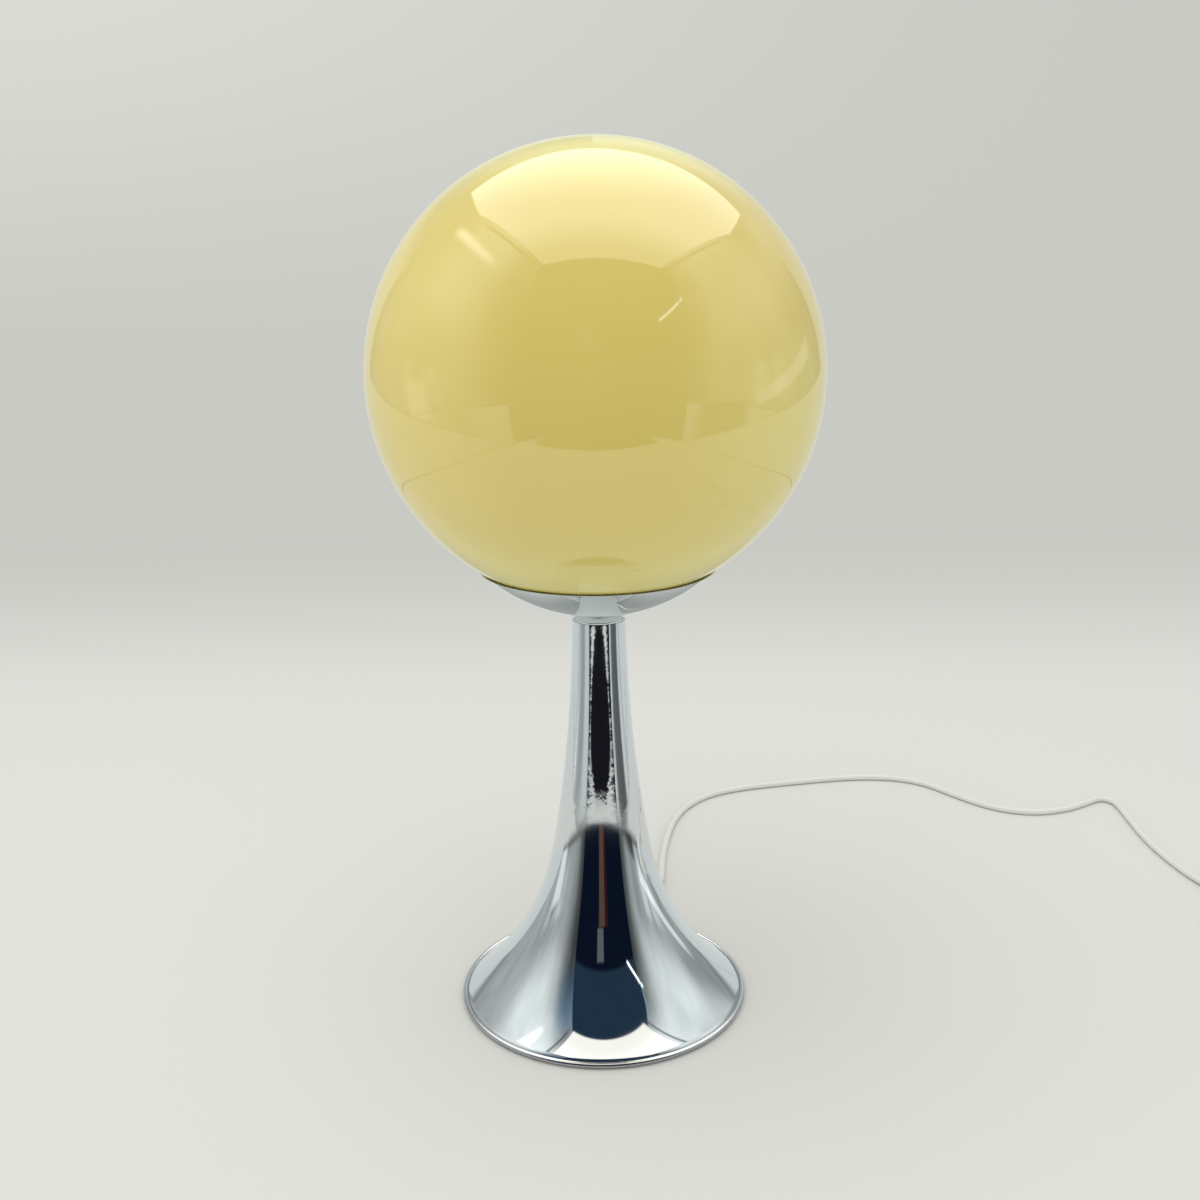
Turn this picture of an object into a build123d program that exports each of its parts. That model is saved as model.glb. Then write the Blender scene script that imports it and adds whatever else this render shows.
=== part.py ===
from build123d import *
import os
from math import asin, cos, hypot, pi, radians, sin, sqrt, tan

# Table lamp with a glass globe on a trumpet-shaped spun stand.  Millimetres, +Z up.
# The origin is the centre of the foot, on the table.  The front faces -Y.

# ---------------------------------------------------------------- driving dimensions
# stand: one spun shell, its outline two tangent arcs
waist_radius = 12.31          # where the upper arc stands upright
stem_curve = 668.3            # radius of the long upper arc
stem_lean = 10.946            # degrees from upright, where the two arcs meet
foot_curve = 117.3            # radius of the arc that runs out to the foot
foot_lean = 51.56             # degrees from upright, where that arc meets the lip
stem_top = 190.0
shell_wall = 1.2
shell_lift = 0.6              # the shell's edge hangs just clear of the table
lip_width = 2.59
lip_thickness = 2.4
lip_round = 1.0
# neck and dish under the globe
neck_height = 3.72
neck_top_radius = 8.3
neck_spigot_length = 6.0
dish_sphere = 78.5            # outer radius of the dish's bowl
dish_depth = 20.8
dish_wall = 1.0
dish_rim_gap = 0.2            # height of the gap between the dish's edge and the glass
seat_rim_margin = 4.7         # from the dish's edge in to the soft ring under the glass
seat_width = 5.0
seat_sink = 0.02              # the ring is stuck down this close to the dish
# globe
globe_radius = 100.0
globe_wall = 2.5
mouth_radius = 40.0
mouth_round = 0.9
# ballast and underside
weight_bottom = 2.0
weight_height = 25.0
weight_recess_radius = 14.5
weight_recess_depth = 17.0
pad_inset = 1.0               # from the ballast's edge
fit_gap = 0.3                 # between pieces that only lie close
running_fit = 0.1             # between turned pieces that locate each other
# threaded tube and its fasteners
tube_radius = 5.0
tube_bore = 3.5
tube_projection = 1.0         # below the lower nut
tube_engagement = 7.0         # inside the lampholder's cap
tube_chamfer = 0.5
thread_clearance = 0.1
nut_across_flats = 14.0
nut_height = 4.0
nut_chamfer = 0.4
base_washer_radius = 11.0
base_washer_thickness = 1.5
dish_washer_radius = 7.8
dish_washer_thickness = 1.5
# spring plate and the three springs that grip the globe's mouth
spring_count = 3
spring_angle = 90.0
spring_width = 8.0
spring_thickness = 0.6
spring_foot = 12.0            # where the strip starts, from the axis
spring_knee = (3.2, 3.6)      # inside and below the mouth's edge
spring_grip_rise = 1.3        # above that edge
spring_tip_rise = 13.0
spring_tip_inset = 2.6
spring_bends = (3.0, 5.0, 2.4)
plate_radius = 19.0
plate_thickness = 1.2
rivet_radius = 1.6
rivet_place = 16.0
rivet_head = 0.9              # height and overhang
# lampholder for an E27 bulb
holder_neck_radius = 9.5
holder_wall = 2.2
cap_cone_height = 10.0
cap_height = 20.6
cap_floor_step = 1.0
cap_boss_radius = 7.6
cap_boss_height = 8.6
cap_boss_flare = 0.5
cap_round = 0.6
ledge_depth = 6.0
ledge_width = 2.0
sleeve_length = 31.0
sleeve_lip = 1.3
sleeve_round = 0.5
insulator_flange = 2.5
insulator_margin = 1.5        # ceramic round the screw shell
insulator_play = 0.9          # between the ceramic and the sleeve's inner ledge
insulator_height = 9.0
insulator_foot_radius = 13.0
insulator_foot = 3.2
screw_shell_play = 0.35       # round the bulb's cap
screw_shell_wall = 0.5
screw_shell_length = 22.0
contact_width = 5.0
contact_thickness = 0.5
contact_steps = (-9.0, -4.5, -2.0, 3.5)     # tail, foot of the rise, its top, tip
contact_bend = 1.2
contact_room = 2.0            # from the insulator to the bulb
terminal_offset = 7.0
terminal_size = (6.0, 5.0, 5.0)
terminal_play = 0.1
terminal_stand = 0.6          # terminals stand out of the ceramic
terminal_screw_radius = 1.3
terminal_head = (2.1, 1.0)    # radius and height
screw_slot = (0.6, 6.0)
wire_radius = 0.7
wire_offset = 0.9
wire_stub = 0.5               # lead above the cap's boss
wire_rise = 1.7               # wires above the terminals' underside
wire_bend = 1.2
# bulb
bulb_radius = 30.0
bulb_skirt = 8.0              # straight part of the dome above the board
bulb_wall = 1.5
bulb_cap_radius = 13.05
bulb_cap_length = 20.5
bulb_cap_round = 1.0
bulb_tip_radius = 4.8
bulb_tip_height = 1.5
bulb_tip_round = 0.9
bulb_insulator_height = 3.0
bulb_insulator_margins = (1.0, 1.5)         # outside the tip, inside the cap
bulb_neck_margin = 1.15       # outside the cap
bulb_housing_length = 44.0
bulb_swell = 5.8              # of the housing at half its length
bulb_board_radius = 24.0
bulb_board_thickness = 1.5
led_count = 10
led_inset = 8.0
led_size = (3.5, 2.8, 0.7)
bulb_contact_gap = 0.3
# cord and gland
cord_diameter = 3.6
cord_angle = 72.0             # where the cord leaves the foot, from +X towards +Y
gland_height = 4.9
gland_length = 20.0           # outside the foot
gland_waist_radius = 3.5
gland_tip_radius = 2.5
gland_flange_radius = 4.6
gland_flange_thickness = 2.0
gland_flange_room = 1.0       # from the flange to the shell's inner skin
gland_ring_count = 4
gland_ring_depth = 0.5
groove_width = 5.0
bend_into_tube = 4.4          # the lead is upright this far above the tube's end
clamp_distance = 16.5         # from the gland's flange
clamp_size = (8.0, 22.0, 1.1)
clamp_corner = 1.5
clamp_screw_margin = 3.5
clamp_screw_radius = 1.5
clamp_screw_length = 7.0
table_gap = 0.05              # under the cord
# switch on the cord
switch_centre = (345.0, 28.0)
switch_length = 62.0
switch_width = 24.0
switch_seam = 6.5
switch_height = 14.5
switch_wall = 1.6
switch_corner = 9.0
switch_base_round = 1.5
switch_cover_round = 3.5
switch_cover_extra = 1.0      # the cover's sides are thicker by this
switch_boss = 2.8
switch_screw_margin = 8.0     # from the switch's end
switch_screw_radius = 1.2
switch_screw_depth = 4.0      # above the seam
switch_screw_head = 0.9
switch_screw_sink = 0.5
switch_contact_spacing = 12.0
switch_contact_size = (4.0, 7.0, 3.4)
switch_clamp_margin = 2.8
switch_clamp_size = (8.0, 2.2)
rocker_length = 18.0
rocker_width = 10.0
rocker_pivot_depth = 3.9      # below the cover's top
rocker_top = 5.6              # from the pivot to the top, level
rocker_skirt = 1.8            # below the pivot
rocker_bulge = 2.0            # widest this far above the pivot
rocker_dip = 1.5
rocker_tilt = 8.0             # each side of level; it rests at OFF
rocker_gap = 0.4
stub_radius = 1.4
stub_length = 1.6
stub_room = 0.2
# coil of the cord's spare length
coil_turns_wide = 4
coil_layers = 2
coil_outer_turn = 27.0        # radius of the widest turn's centreline
coil_spacing = 0.05           # between neighbouring turns
coil_centre_y = -60.0
coil_lead = 22.0              # straight stub on each end of the coil
coil_edge = 0.3               # the closed ring's corners are this much tighter than the cord
# plug
plug_face = (35.3, 13.7)
plug_length = 34.0
plug_grip = 18.0              # full-width end of the body
plug_back = (17.0, 10.0)
plug_corner = 0.3             # short of a full half-round side
plug_relief_length = 16.0
plug_relief_radius = 2.6
plug_relief_root = 4.4
pin_spacing = 19.0
pin_radius = 2.0
pin_length = 19.0
pin_sleeve_radius = 1.9
pin_sleeve_length = 10.0
pin_core_radius = 1.4
pin_core_play = 0.02
pin_depth = 12.0
pin_round = 1.2

# ---------------------------------------------------------------- worked out from them
lean, lip_lean = radians(stem_lean), radians(foot_lean)
lip_top = shell_lift + lip_thickness
foot_centre_height = lip_top + foot_curve * sin(lip_lean)
stem_centre = (
    waist_radius + stem_curve,
    foot_centre_height + (stem_curve - foot_curve) * sin(lean),
)
foot_centre = (stem_centre[0] - (stem_curve - foot_curve) * cos(lean), foot_centre_height)
lip_radius = foot_centre[0] - foot_curve * cos(lip_lean) + lip_width
cord_radius = cord_diameter / 2


def flare_point(angle, inset=0.0):
    """Point of the stand's outline where it leans by angle, inset from the outer skin."""
    centre, radius = (stem_centre, stem_curve) if angle <= lean else (foot_centre, foot_curve)
    return centre[0] - (radius + inset) * cos(angle), centre[1] - (radius + inset) * sin(angle)


def flare_angle(height, inset=0.0):
    """Lean of the outline at a height."""
    if height >= stem_centre[1] - (stem_curve + inset) * sin(lean):
        return asin((stem_centre[1] - height) / (stem_curve + inset))
    return asin((foot_centre[1] - height) / (foot_curve + inset))


def flare_radius(height, inset=0.0):
    """Distance of the outline from the lamp's axis at a height."""
    return flare_point(flare_angle(height, inset), inset)[0]


def flare_arc(start, end, inset=0.0):
    """Arc of the outline between two leans on the same side of the join."""
    ThreePointArc(*[flare_point(angle, inset) for angle in (start, (start + end) / 2, end)])


def bowl_height(sphere, centre, radius):
    """Height of the lower half of a sphere at a distance from the axis."""
    return centre - sqrt(sphere**2 - radius**2)


def bowl_arc(sphere, centre, start, end):
    """Arc of that half between two distances from the axis."""
    middle = (start + end) / 2
    ThreePointArc(*[(r, bowl_height(sphere, centre, r)) for r in (start, middle, end)])


def at_angle(radius, angle, height):
    """Place at a distance and direction from the axis."""
    return radius * cos(radians(angle)), radius * sin(radians(angle)), height


dish_seat = stem_top + neck_height
dish_centre = dish_seat + sqrt(dish_sphere**2 - neck_top_radius**2)
dish_floor = dish_seat + dish_wall
dish_rim_height = dish_seat + dish_depth
dish_rim_radius = sqrt(dish_sphere**2 - (dish_centre - dish_rim_height) ** 2)
inner_dish = dish_sphere - dish_wall
rim_inner = sqrt(inner_dish**2 - (dish_centre - dish_rim_height) ** 2)
seat_outer_radius = rim_inner - seat_rim_margin
seat_inner_radius = seat_outer_radius - seat_width
globe_height = dish_rim_height + dish_rim_gap + sqrt(globe_radius**2 - rim_inner**2)
mouth_height = bowl_height(globe_radius, globe_height, mouth_radius)
weight_top = weight_bottom + weight_height
recess_top = weight_bottom + weight_recess_depth
base_nut_top = recess_top - base_washer_thickness
tube_start = base_nut_top - nut_height - tube_projection
dish_washer_top = dish_floor + dish_washer_thickness
plate_bottom = dish_washer_top + nut_height
plate_top = plate_bottom + plate_thickness
tube_length = plate_top + tube_engagement - tube_start
cap_top = plate_top + cap_height
ledge = cap_top - ledge_depth
screw_shell_radius = bulb_cap_radius + screw_shell_play
insulator_core_radius = screw_shell_radius + screw_shell_wall + insulator_margin
holder_inner = insulator_core_radius + insulator_play + ledge_width
holder_radius = holder_inner + holder_wall
insulator_top = ledge - insulator_foot + insulator_height
sleeve_top = cap_top + sleeve_length
bulb_bottom = insulator_top + contact_room
bulb_neck_radius = bulb_cap_radius + bulb_neck_margin
bulb_cap_bottom = bulb_bottom + bulb_tip_height + bulb_insulator_height
bulb_cap_top = bulb_cap_bottom + bulb_cap_length
bulb_board_height = bulb_cap_top + bulb_housing_length
bulb_top = bulb_board_height + bulb_skirt + bulb_radius
exit_plane = Plane(origin=(0, 0, 0), x_dir=at_angle(1, cord_angle + 90, 0), z_dir=at_angle(1, cord_angle, 0))
gland_end = lip_radius + gland_length
gland_flange_top = gland_height + gland_flange_radius
gland_flange_end = flare_radius(gland_flange_top, shell_wall) - gland_flange_room
gland_flange_place = gland_flange_end - gland_flange_thickness
clamp_place = gland_flange_place - clamp_distance
clamp_spacing = clamp_size[1] - 2 * clamp_screw_margin
lead_bend = tube_start - gland_height + bend_into_tube
cap_bore = tube_radius + thread_clearance
rocker_pivot_height = switch_height - rocker_pivot_depth
coil_pitch = cord_diameter + coil_spacing


# ---------------------------------------------------------------- stand
with BuildPart() as trumpet_shell:
    with BuildSketch(Plane.XZ):
        with BuildLine():
            inner_lean = flare_angle(shell_lift, shell_wall)
            outer_top = flare_angle(stem_top)
            inner_top = flare_angle(stem_top, shell_wall)
            flare_arc(outer_top, lean)
            flare_arc(lean, lip_lean)
            Polyline(
                flare_point(lip_lean),
                (lip_radius, lip_top),
                (lip_radius, shell_lift),
                flare_point(inner_lean, shell_wall),
            )
            flare_arc(inner_lean, lean, shell_wall)
            flare_arc(lean, inner_top, shell_wall)
            Line(flare_point(inner_top, shell_wall), flare_point(outer_top))
        make_face()
        fillet(vertices().group_by(Axis.X)[-1], lip_round)
    revolve(axis=Axis.Z)
    with BuildSketch(exit_plane):               # arched way out for the gland
        with Locations((0, gland_height)):
            Circle(gland_waist_radius + running_fit)
        with Locations((0, gland_height / 2)):
            Rectangle(2 * (gland_waist_radius + running_fit), gland_height)
    extrude(amount=lip_radius + 1, mode=Mode.SUBTRACT)
trumpet_shell.part.label = "trumpet_shell"

with BuildPart() as neck_collar:
    with BuildSketch(Plane.XZ):
        with BuildLine():
            spigot = flare_radius(stem_top, shell_wall) - running_fit
            Polyline(
                (cap_bore, stem_top - neck_spigot_length),
                (spigot, stem_top - neck_spigot_length),
                (spigot, stem_top),
                (flare_radius(stem_top), stem_top),
                (neck_top_radius, dish_seat),
                (cap_bore, dish_seat),
                close=True,
            )
        make_face()
    revolve(axis=Axis.Z)
neck_collar.part.label = "neck_collar"

with BuildPart() as globe_dish:
    with BuildSketch(Plane.XZ):
        with BuildLine():
            floor_radius = sqrt(inner_dish**2 - (dish_centre - dish_floor) ** 2)
            Line((cap_bore, dish_seat), (neck_top_radius, dish_seat))
            bowl_arc(dish_sphere, dish_centre, neck_top_radius, dish_rim_radius)
            Line((dish_rim_radius, dish_rim_height), (rim_inner, dish_rim_height))
            bowl_arc(inner_dish, dish_centre, rim_inner, floor_radius)
            Polyline((floor_radius, dish_floor), (cap_bore, dish_floor), (cap_bore, dish_seat))
        make_face()
    revolve(axis=Axis.Z)
globe_dish.part.label = "globe_dish"

with BuildPart() as dish_seat_ring:
    with BuildSketch(Plane.XZ):
        with BuildLine():
            lower, upper = inner_dish - seat_sink, globe_radius + fit_gap
            bowl_arc(lower, dish_centre, seat_inner_radius, seat_outer_radius)
            Line(
                (seat_outer_radius, bowl_height(lower, dish_centre, seat_outer_radius)),
                (seat_outer_radius, bowl_height(upper, globe_height, seat_outer_radius)),
            )
            bowl_arc(upper, globe_height, seat_outer_radius, seat_inner_radius)
            Line(
                (seat_inner_radius, bowl_height(upper, globe_height, seat_inner_radius)),
                (seat_inner_radius, bowl_height(lower, dish_centre, seat_inner_radius)),
            )
        make_face()
    revolve(axis=Axis.Z)
dish_seat_ring.part.label = "dish_seat_ring"

# The ballast follows the inside of the flare.  Its underside has a recess for the nut and a
# groove for the lead, with a pocket at the gland.
with BuildPart() as base_weight:
    with BuildSketch(Plane.XZ):
        with BuildLine():
            skin = shell_wall + fit_gap
            bottom_lean = flare_angle(weight_bottom, skin)
            top_lean = flare_angle(weight_top, skin)
            flare_arc(top_lean, bottom_lean, skin)
            Polyline(
                flare_point(bottom_lean, skin),
                (weight_recess_radius, weight_bottom),
                (weight_recess_radius, recess_top),
                (cap_bore, recess_top),
                (cap_bore, weight_top),
                flare_point(top_lean, skin),
            )
        make_face()
    revolve(axis=Axis.Z)
    with BuildSketch(exit_plane):
        with Locations((0, gland_height / 2)):
            Rectangle(groove_width, gland_height)
        with Locations((0, gland_height)):
            Circle(groove_width / 2)
    extrude(amount=lip_radius, mode=Mode.SUBTRACT)
    with BuildSketch(exit_plane.offset(gland_flange_place - fit_gap)):
        with Locations((0, gland_height)):
            Circle(gland_flange_radius + fit_gap)
        with Locations((0, gland_height / 2)):
            Rectangle(2 * (gland_flange_radius + fit_gap), gland_height)
    extrude(amount=lip_radius - gland_flange_place, mode=Mode.SUBTRACT)
    with BuildSketch(Plane.XY.offset(weight_bottom)):
        with Locations(Location(at_angle(clamp_place, cord_angle, 0), (0, 0, cord_angle))):
            Rectangle(clamp_size[0] + 2 * fit_gap, clamp_size[1] + 2 * fit_gap)
    extrude(amount=gland_height - cord_radius - weight_bottom, mode=Mode.SUBTRACT)
    clamp_top = gland_height - cord_radius
    with BuildSketch(Plane.XY.offset(clamp_top)):
        with Locations(Location(at_angle(clamp_place, cord_angle, 0), (0, 0, cord_angle))):
            with GridLocations(0, clamp_spacing, 1, 2):
                Circle(clamp_screw_radius + running_fit)
    extrude(amount=clamp_screw_length, mode=Mode.SUBTRACT)
base_weight.part.label = "base_weight"

with BuildPart() as foot_pad:
    with BuildSketch():
        Circle(flare_radius(weight_bottom, shell_wall + fit_gap) - pad_inset)
    extrude(amount=weight_bottom)
    with BuildSketch(exit_plane.offset(gland_flange_place - 2 * fit_gap)):
        with Locations((0, gland_height / 2)):
            Rectangle(2 * (gland_flange_radius + fit_gap), 2 * gland_height)
    extrude(amount=lip_radius - gland_flange_place, mode=Mode.SUBTRACT)
foot_pad.part.label = "foot_pad"

with BuildPart() as threaded_tube:
    with BuildSketch(Plane.XY.offset(tube_start)):
        Circle(tube_radius)
        Circle(tube_bore, mode=Mode.SUBTRACT)
    extrude(amount=tube_length)
    chamfer(edges().filter_by(GeomType.CIRCLE).group_by(SortBy.RADIUS)[-1], tube_chamfer)
threaded_tube.part.label = "threaded_tube"


def washer(radius, thickness, bottom):
    """Flat ring on the threaded tube."""
    with BuildPart() as ring:
        with BuildSketch(Plane.XY.offset(bottom)):
            Circle(radius)
            Circle(cap_bore, mode=Mode.SUBTRACT)
        extrude(amount=thickness)
    return ring


def nut(bottom):
    """Thin hexagon nut on the threaded tube, its corners turned off."""
    with BuildPart() as hexagon:
        with BuildSketch(Plane.XY.offset(bottom)):
            RegularPolygon(nut_across_flats / 2, 6, major_radius=False)
            Circle(cap_bore, mode=Mode.SUBTRACT)
        extrude(amount=nut_height)
        chamfer(edges().filter_by(GeomType.CIRCLE), nut_chamfer)
    return hexagon


base_washer = washer(base_washer_radius, base_washer_thickness, base_nut_top)
base_washer.part.label = "base_washer"
base_nut = nut(base_nut_top - nut_height)
base_nut.part.label = "base_nut"
dish_washer = washer(dish_washer_radius, dish_washer_thickness, dish_floor)
dish_washer.part.label = "dish_washer"
dish_nut = nut(dish_washer_top)
dish_nut.part.label = "dish_nut"

# ---------------------------------------------------------------- springs that grip the globe
with BuildPart() as spring_plate:
    with BuildSketch(Plane.XY.offset(plate_bottom)):
        Circle(plate_radius)
        Circle(cap_bore, mode=Mode.SUBTRACT)
        with PolarLocations(rivet_place, spring_count, spring_angle):
            Circle(rivet_radius + thread_clearance, mode=Mode.SUBTRACT)
    extrude(amount=plate_thickness)
spring_plate.part.label = "spring_plate"

# A strip bent in one plane: flat on the plate, out under the mouth, up against it and back in.
spring_reach = mouth_radius - fit_gap
spring_middle = spring_thickness / 2
strip = (
    (spring_foot, plate_top + spring_middle),
    (plate_radius + rivet_head, plate_top + spring_middle),
    (spring_reach - spring_knee[0], mouth_height - spring_knee[1]),
    (spring_reach - spring_middle, mouth_height + spring_grip_rise),
    (spring_reach - spring_tip_inset, plate_top + spring_tip_rise),
)
with BuildPart() as globe_springs:
    for index in range(spring_count):
        direction = spring_angle + index * 360 / spring_count
        side = Plane(
            origin=at_angle(1, direction + 90, 0)[:2] + (0,),
            x_dir=at_angle(1, direction, 0),
            z_dir=at_angle(1, direction - 90, 0),
        )
        side = side.offset(1 - spring_width / 2)
        with BuildSketch(side):
            with BuildLine():
                FilletPolyline(*strip, radius=spring_bends)
                offset(amount=spring_middle, mode=Mode.REPLACE)
            make_face()
        extrude(amount=spring_width)
    with PolarLocations(rivet_place, spring_count, spring_angle):
        Cylinder(rivet_radius + thread_clearance, 2 * mouth_height, mode=Mode.SUBTRACT)
globe_springs.part.label = "globe_springs"

with BuildPart() as spring_rivets:
    with BuildSketch(Plane.XY.offset(plate_bottom)):
        with PolarLocations(rivet_place, spring_count, spring_angle):
            Circle(rivet_radius)
    extrude(amount=plate_thickness + spring_thickness)
    for height, amount in ((plate_bottom, -rivet_head), (plate_top + spring_thickness, rivet_head)):
        with BuildSketch(Plane.XY.offset(height)):
            with PolarLocations(rivet_place, spring_count, spring_angle):
                Circle(rivet_radius + rivet_head)
        extrude(amount=amount)
spring_rivets.part.label = "spring_rivets"

# ---------------------------------------------------------------- lampholder
with BuildPart() as holder_cap:
    with BuildSketch(Plane.XZ):
        with BuildLine():
            shoulder = plate_top + cap_cone_height
            Polyline(
                (cap_bore, plate_top),
                (holder_neck_radius, plate_top),
                (holder_radius, shoulder),
                (holder_radius, cap_top),
                (holder_inner, cap_top),
                (holder_inner, ledge),
                (holder_inner - ledge_width, ledge),
                (holder_inner - ledge_width, shoulder + cap_floor_step),
                (cap_boss_radius + cap_boss_flare, plate_top + holder_wall),
                (cap_boss_radius, plate_top + holder_wall),
                (cap_boss_radius, plate_top + cap_boss_height),
                (cap_bore, plate_top + cap_boss_height),
                close=True,
            )
        make_face()
    revolve(axis=Axis.Z)
    fillet(edges().filter_by(GeomType.CIRCLE).group_by(Axis.Z)[1].sort_by(SortBy.RADIUS)[-1:], cap_round)
holder_cap.part.label = "holder_cap"

with BuildPart() as holder_sleeve:
    with BuildSketch(Plane.XZ):
        with BuildLine():
            spigot = holder_inner - running_fit
            bore = holder_inner - ledge_width
            foot = ledge + insulator_flange + running_fit
            Polyline(
                (bore, foot),
                (spigot, foot),
                (spigot, cap_top),
                (holder_radius, cap_top),
                (holder_radius, sleeve_top),
                (holder_inner - sleeve_lip, sleeve_top),
                (holder_inner - sleeve_lip, sleeve_top - sleeve_lip),
                (holder_inner, sleeve_top - 2 * sleeve_lip),
                (holder_inner, cap_top + ledge_width),
                (bore, cap_top),
                close=True,
            )
        make_face()
    revolve(axis=Axis.Z)
    fillet(edges().filter_by(GeomType.CIRCLE).group_by(Axis.Z)[-1], sleeve_round)
holder_sleeve.part.label = "holder_sleeve"

with BuildPart() as holder_insulator:
    with BuildSketch(Plane.XZ):
        with BuildLine():
            Polyline(
                (0, ledge - insulator_foot),
                (insulator_foot_radius, ledge - insulator_foot),
                (insulator_foot_radius, ledge),
                (holder_inner - running_fit, ledge),
                (holder_inner - running_fit, ledge + insulator_flange),
                (insulator_core_radius, ledge + insulator_flange),
                (insulator_core_radius, insulator_top),
                (0, insulator_top),
                close=True,
            )
        make_face()
    revolve(axis=Axis.Z)
    with BuildSketch(Plane.XY.offset(ledge - insulator_foot)):   # pockets for the terminals
        with GridLocations(2 * terminal_offset, 0, 2, 1):
            Rectangle(terminal_size[0] + 2 * terminal_play, terminal_size[1] + 2 * terminal_play)
    extrude(amount=terminal_size[2], mode=Mode.SUBTRACT)
    with BuildSketch(Plane.XY.offset(ledge - insulator_foot)):   # and a slot for their wires
        Rectangle(2 * terminal_offset, 4 * wire_radius)
    extrude(amount=4 * wire_radius, mode=Mode.SUBTRACT)
holder_insulator.part.label = "holder_insulator"

with BuildPart() as holder_screw_shell:
    with BuildSketch(Plane.XY.offset(insulator_top)):
        Circle(screw_shell_radius + screw_shell_wall)
        Circle(screw_shell_radius - ledge_width, mode=Mode.SUBTRACT)
    extrude(amount=screw_shell_wall)
    with BuildSketch(Plane.XY.offset(insulator_top)):
        Circle(screw_shell_radius + screw_shell_wall)
        Circle(screw_shell_radius, mode=Mode.SUBTRACT)
    extrude(amount=screw_shell_length)
holder_screw_shell.part.label = "holder_screw_shell"

# Strip under the bulb's tip: flat on the insulator at one end, sprung up in the middle.
with BuildPart() as centre_contact:
    with BuildSketch(Plane.XZ.offset(-contact_width / 2)):
        with BuildLine():
            low = insulator_top + contact_thickness / 2
            high = bulb_bottom - bulb_contact_gap - contact_thickness / 2
            heights = (low, low, high, high)
            FilletPolyline(*zip(contact_steps, heights), radius=contact_bend)
            offset(amount=contact_thickness / 2, mode=Mode.REPLACE)
        make_face()
    extrude(amount=contact_width)
centre_contact.part.label = "centre_contact"

terminal_bottom = ledge - insulator_foot - terminal_stand
with BuildPart() as terminal_blocks:
    with BuildSketch(Plane.XY.offset(terminal_bottom)):
        with GridLocations(2 * terminal_offset, 0, 2, 1):
            Rectangle(*terminal_size[:2])
            Circle(terminal_screw_radius + thread_clearance, mode=Mode.SUBTRACT)
    extrude(amount=terminal_size[2])
terminal_blocks.part.label = "terminal_blocks"

with BuildPart() as terminal_screws:
    with BuildSketch(Plane.XY.offset(terminal_bottom)):
        with GridLocations(2 * terminal_offset, 0, 2, 1):
            Circle(terminal_screw_radius)
    extrude(amount=terminal_size[2] - terminal_stand)
    with BuildSketch(Plane.XY.offset(terminal_bottom)):
        with GridLocations(2 * terminal_offset, 0, 2, 1):
            Circle(terminal_head[0])
            Rectangle(*screw_slot, mode=Mode.SUBTRACT)
    extrude(amount=-terminal_head[1])
terminal_screws.part.label = "terminal_screws"

# ---------------------------------------------------------------- globe
with BuildPart() as glass_globe:
    Sphere(globe_radius)
    with BuildSketch(Plane.XY.offset(-globe_radius)):
        Circle(mouth_radius)
    extrude(amount=globe_radius, mode=Mode.SUBTRACT)
    Sphere(globe_radius - globe_wall, mode=Mode.SUBTRACT)
    fillet(edges().filter_by(GeomType.CIRCLE).group_by(Axis.Z)[:2], mouth_round)
glass_globe.part.locate(Location((0, 0, globe_height)))
glass_globe.part.label = "glass_globe"

# ---------------------------------------------------------------- bulb
with BuildPart() as bulb_tip:
    with BuildSketch(Plane.XY.offset(bulb_bottom)):
        Circle(bulb_tip_radius)
    extrude(amount=bulb_tip_height)
    fillet(edges().filter_by(GeomType.CIRCLE).group_by(Axis.Z)[0], bulb_tip_round)
bulb_tip.part.label = "bulb_tip"

with BuildPart() as bulb_insulator:
    with BuildSketch(Plane.XY.offset(bulb_bottom + bulb_tip_height)):
        Circle(bulb_tip_radius + bulb_insulator_margins[0])
    with BuildSketch(Plane.XY.offset(bulb_cap_bottom)):
        Circle(bulb_cap_radius - bulb_insulator_margins[1])
    loft()
bulb_insulator.part.label = "bulb_insulator"

with BuildPart() as bulb_screw_cap:
    with BuildSketch(Plane.XY.offset(bulb_cap_bottom)):
        Circle(bulb_cap_radius)
    extrude(amount=bulb_cap_length)
    fillet(edges().filter_by(GeomType.CIRCLE).group_by(Axis.Z)[0], bulb_cap_round)
bulb_screw_cap.part.label = "bulb_screw_cap"

with BuildPart() as bulb_housing:
    with BuildSketch(Plane.XZ):
        with BuildLine():
            Polyline((0, bulb_board_height), (0, bulb_cap_top), (bulb_neck_radius, bulb_cap_top))
            Spline(
                (bulb_neck_radius, bulb_cap_top),
                (bulb_neck_radius + bulb_swell, bulb_cap_top + bulb_housing_length / 2),
                (bulb_radius, bulb_board_height),
                tangents=((0.12, 1), (0.25, 1)),
            )
            Line((bulb_radius, bulb_board_height), (0, bulb_board_height))
        make_face()
    revolve(axis=Axis.Z)
    with BuildSketch(Plane.XY.offset(bulb_board_height)):
        Circle(bulb_board_radius + running_fit)
    extrude(amount=-bulb_board_thickness, mode=Mode.SUBTRACT)
bulb_housing.part.label = "bulb_housing"

with BuildPart() as bulb_led_board:
    with BuildSketch(Plane.XY.offset(bulb_board_height - bulb_board_thickness)):
        Circle(bulb_board_radius)
    extrude(amount=bulb_board_thickness)
    with BuildSketch(Plane.XY.offset(bulb_board_height)):
        with PolarLocations(bulb_board_radius - led_inset, led_count):
            Rectangle(*led_size[:2])
    extrude(amount=led_size[2])
bulb_led_board.part.label = "bulb_led_board"

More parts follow.
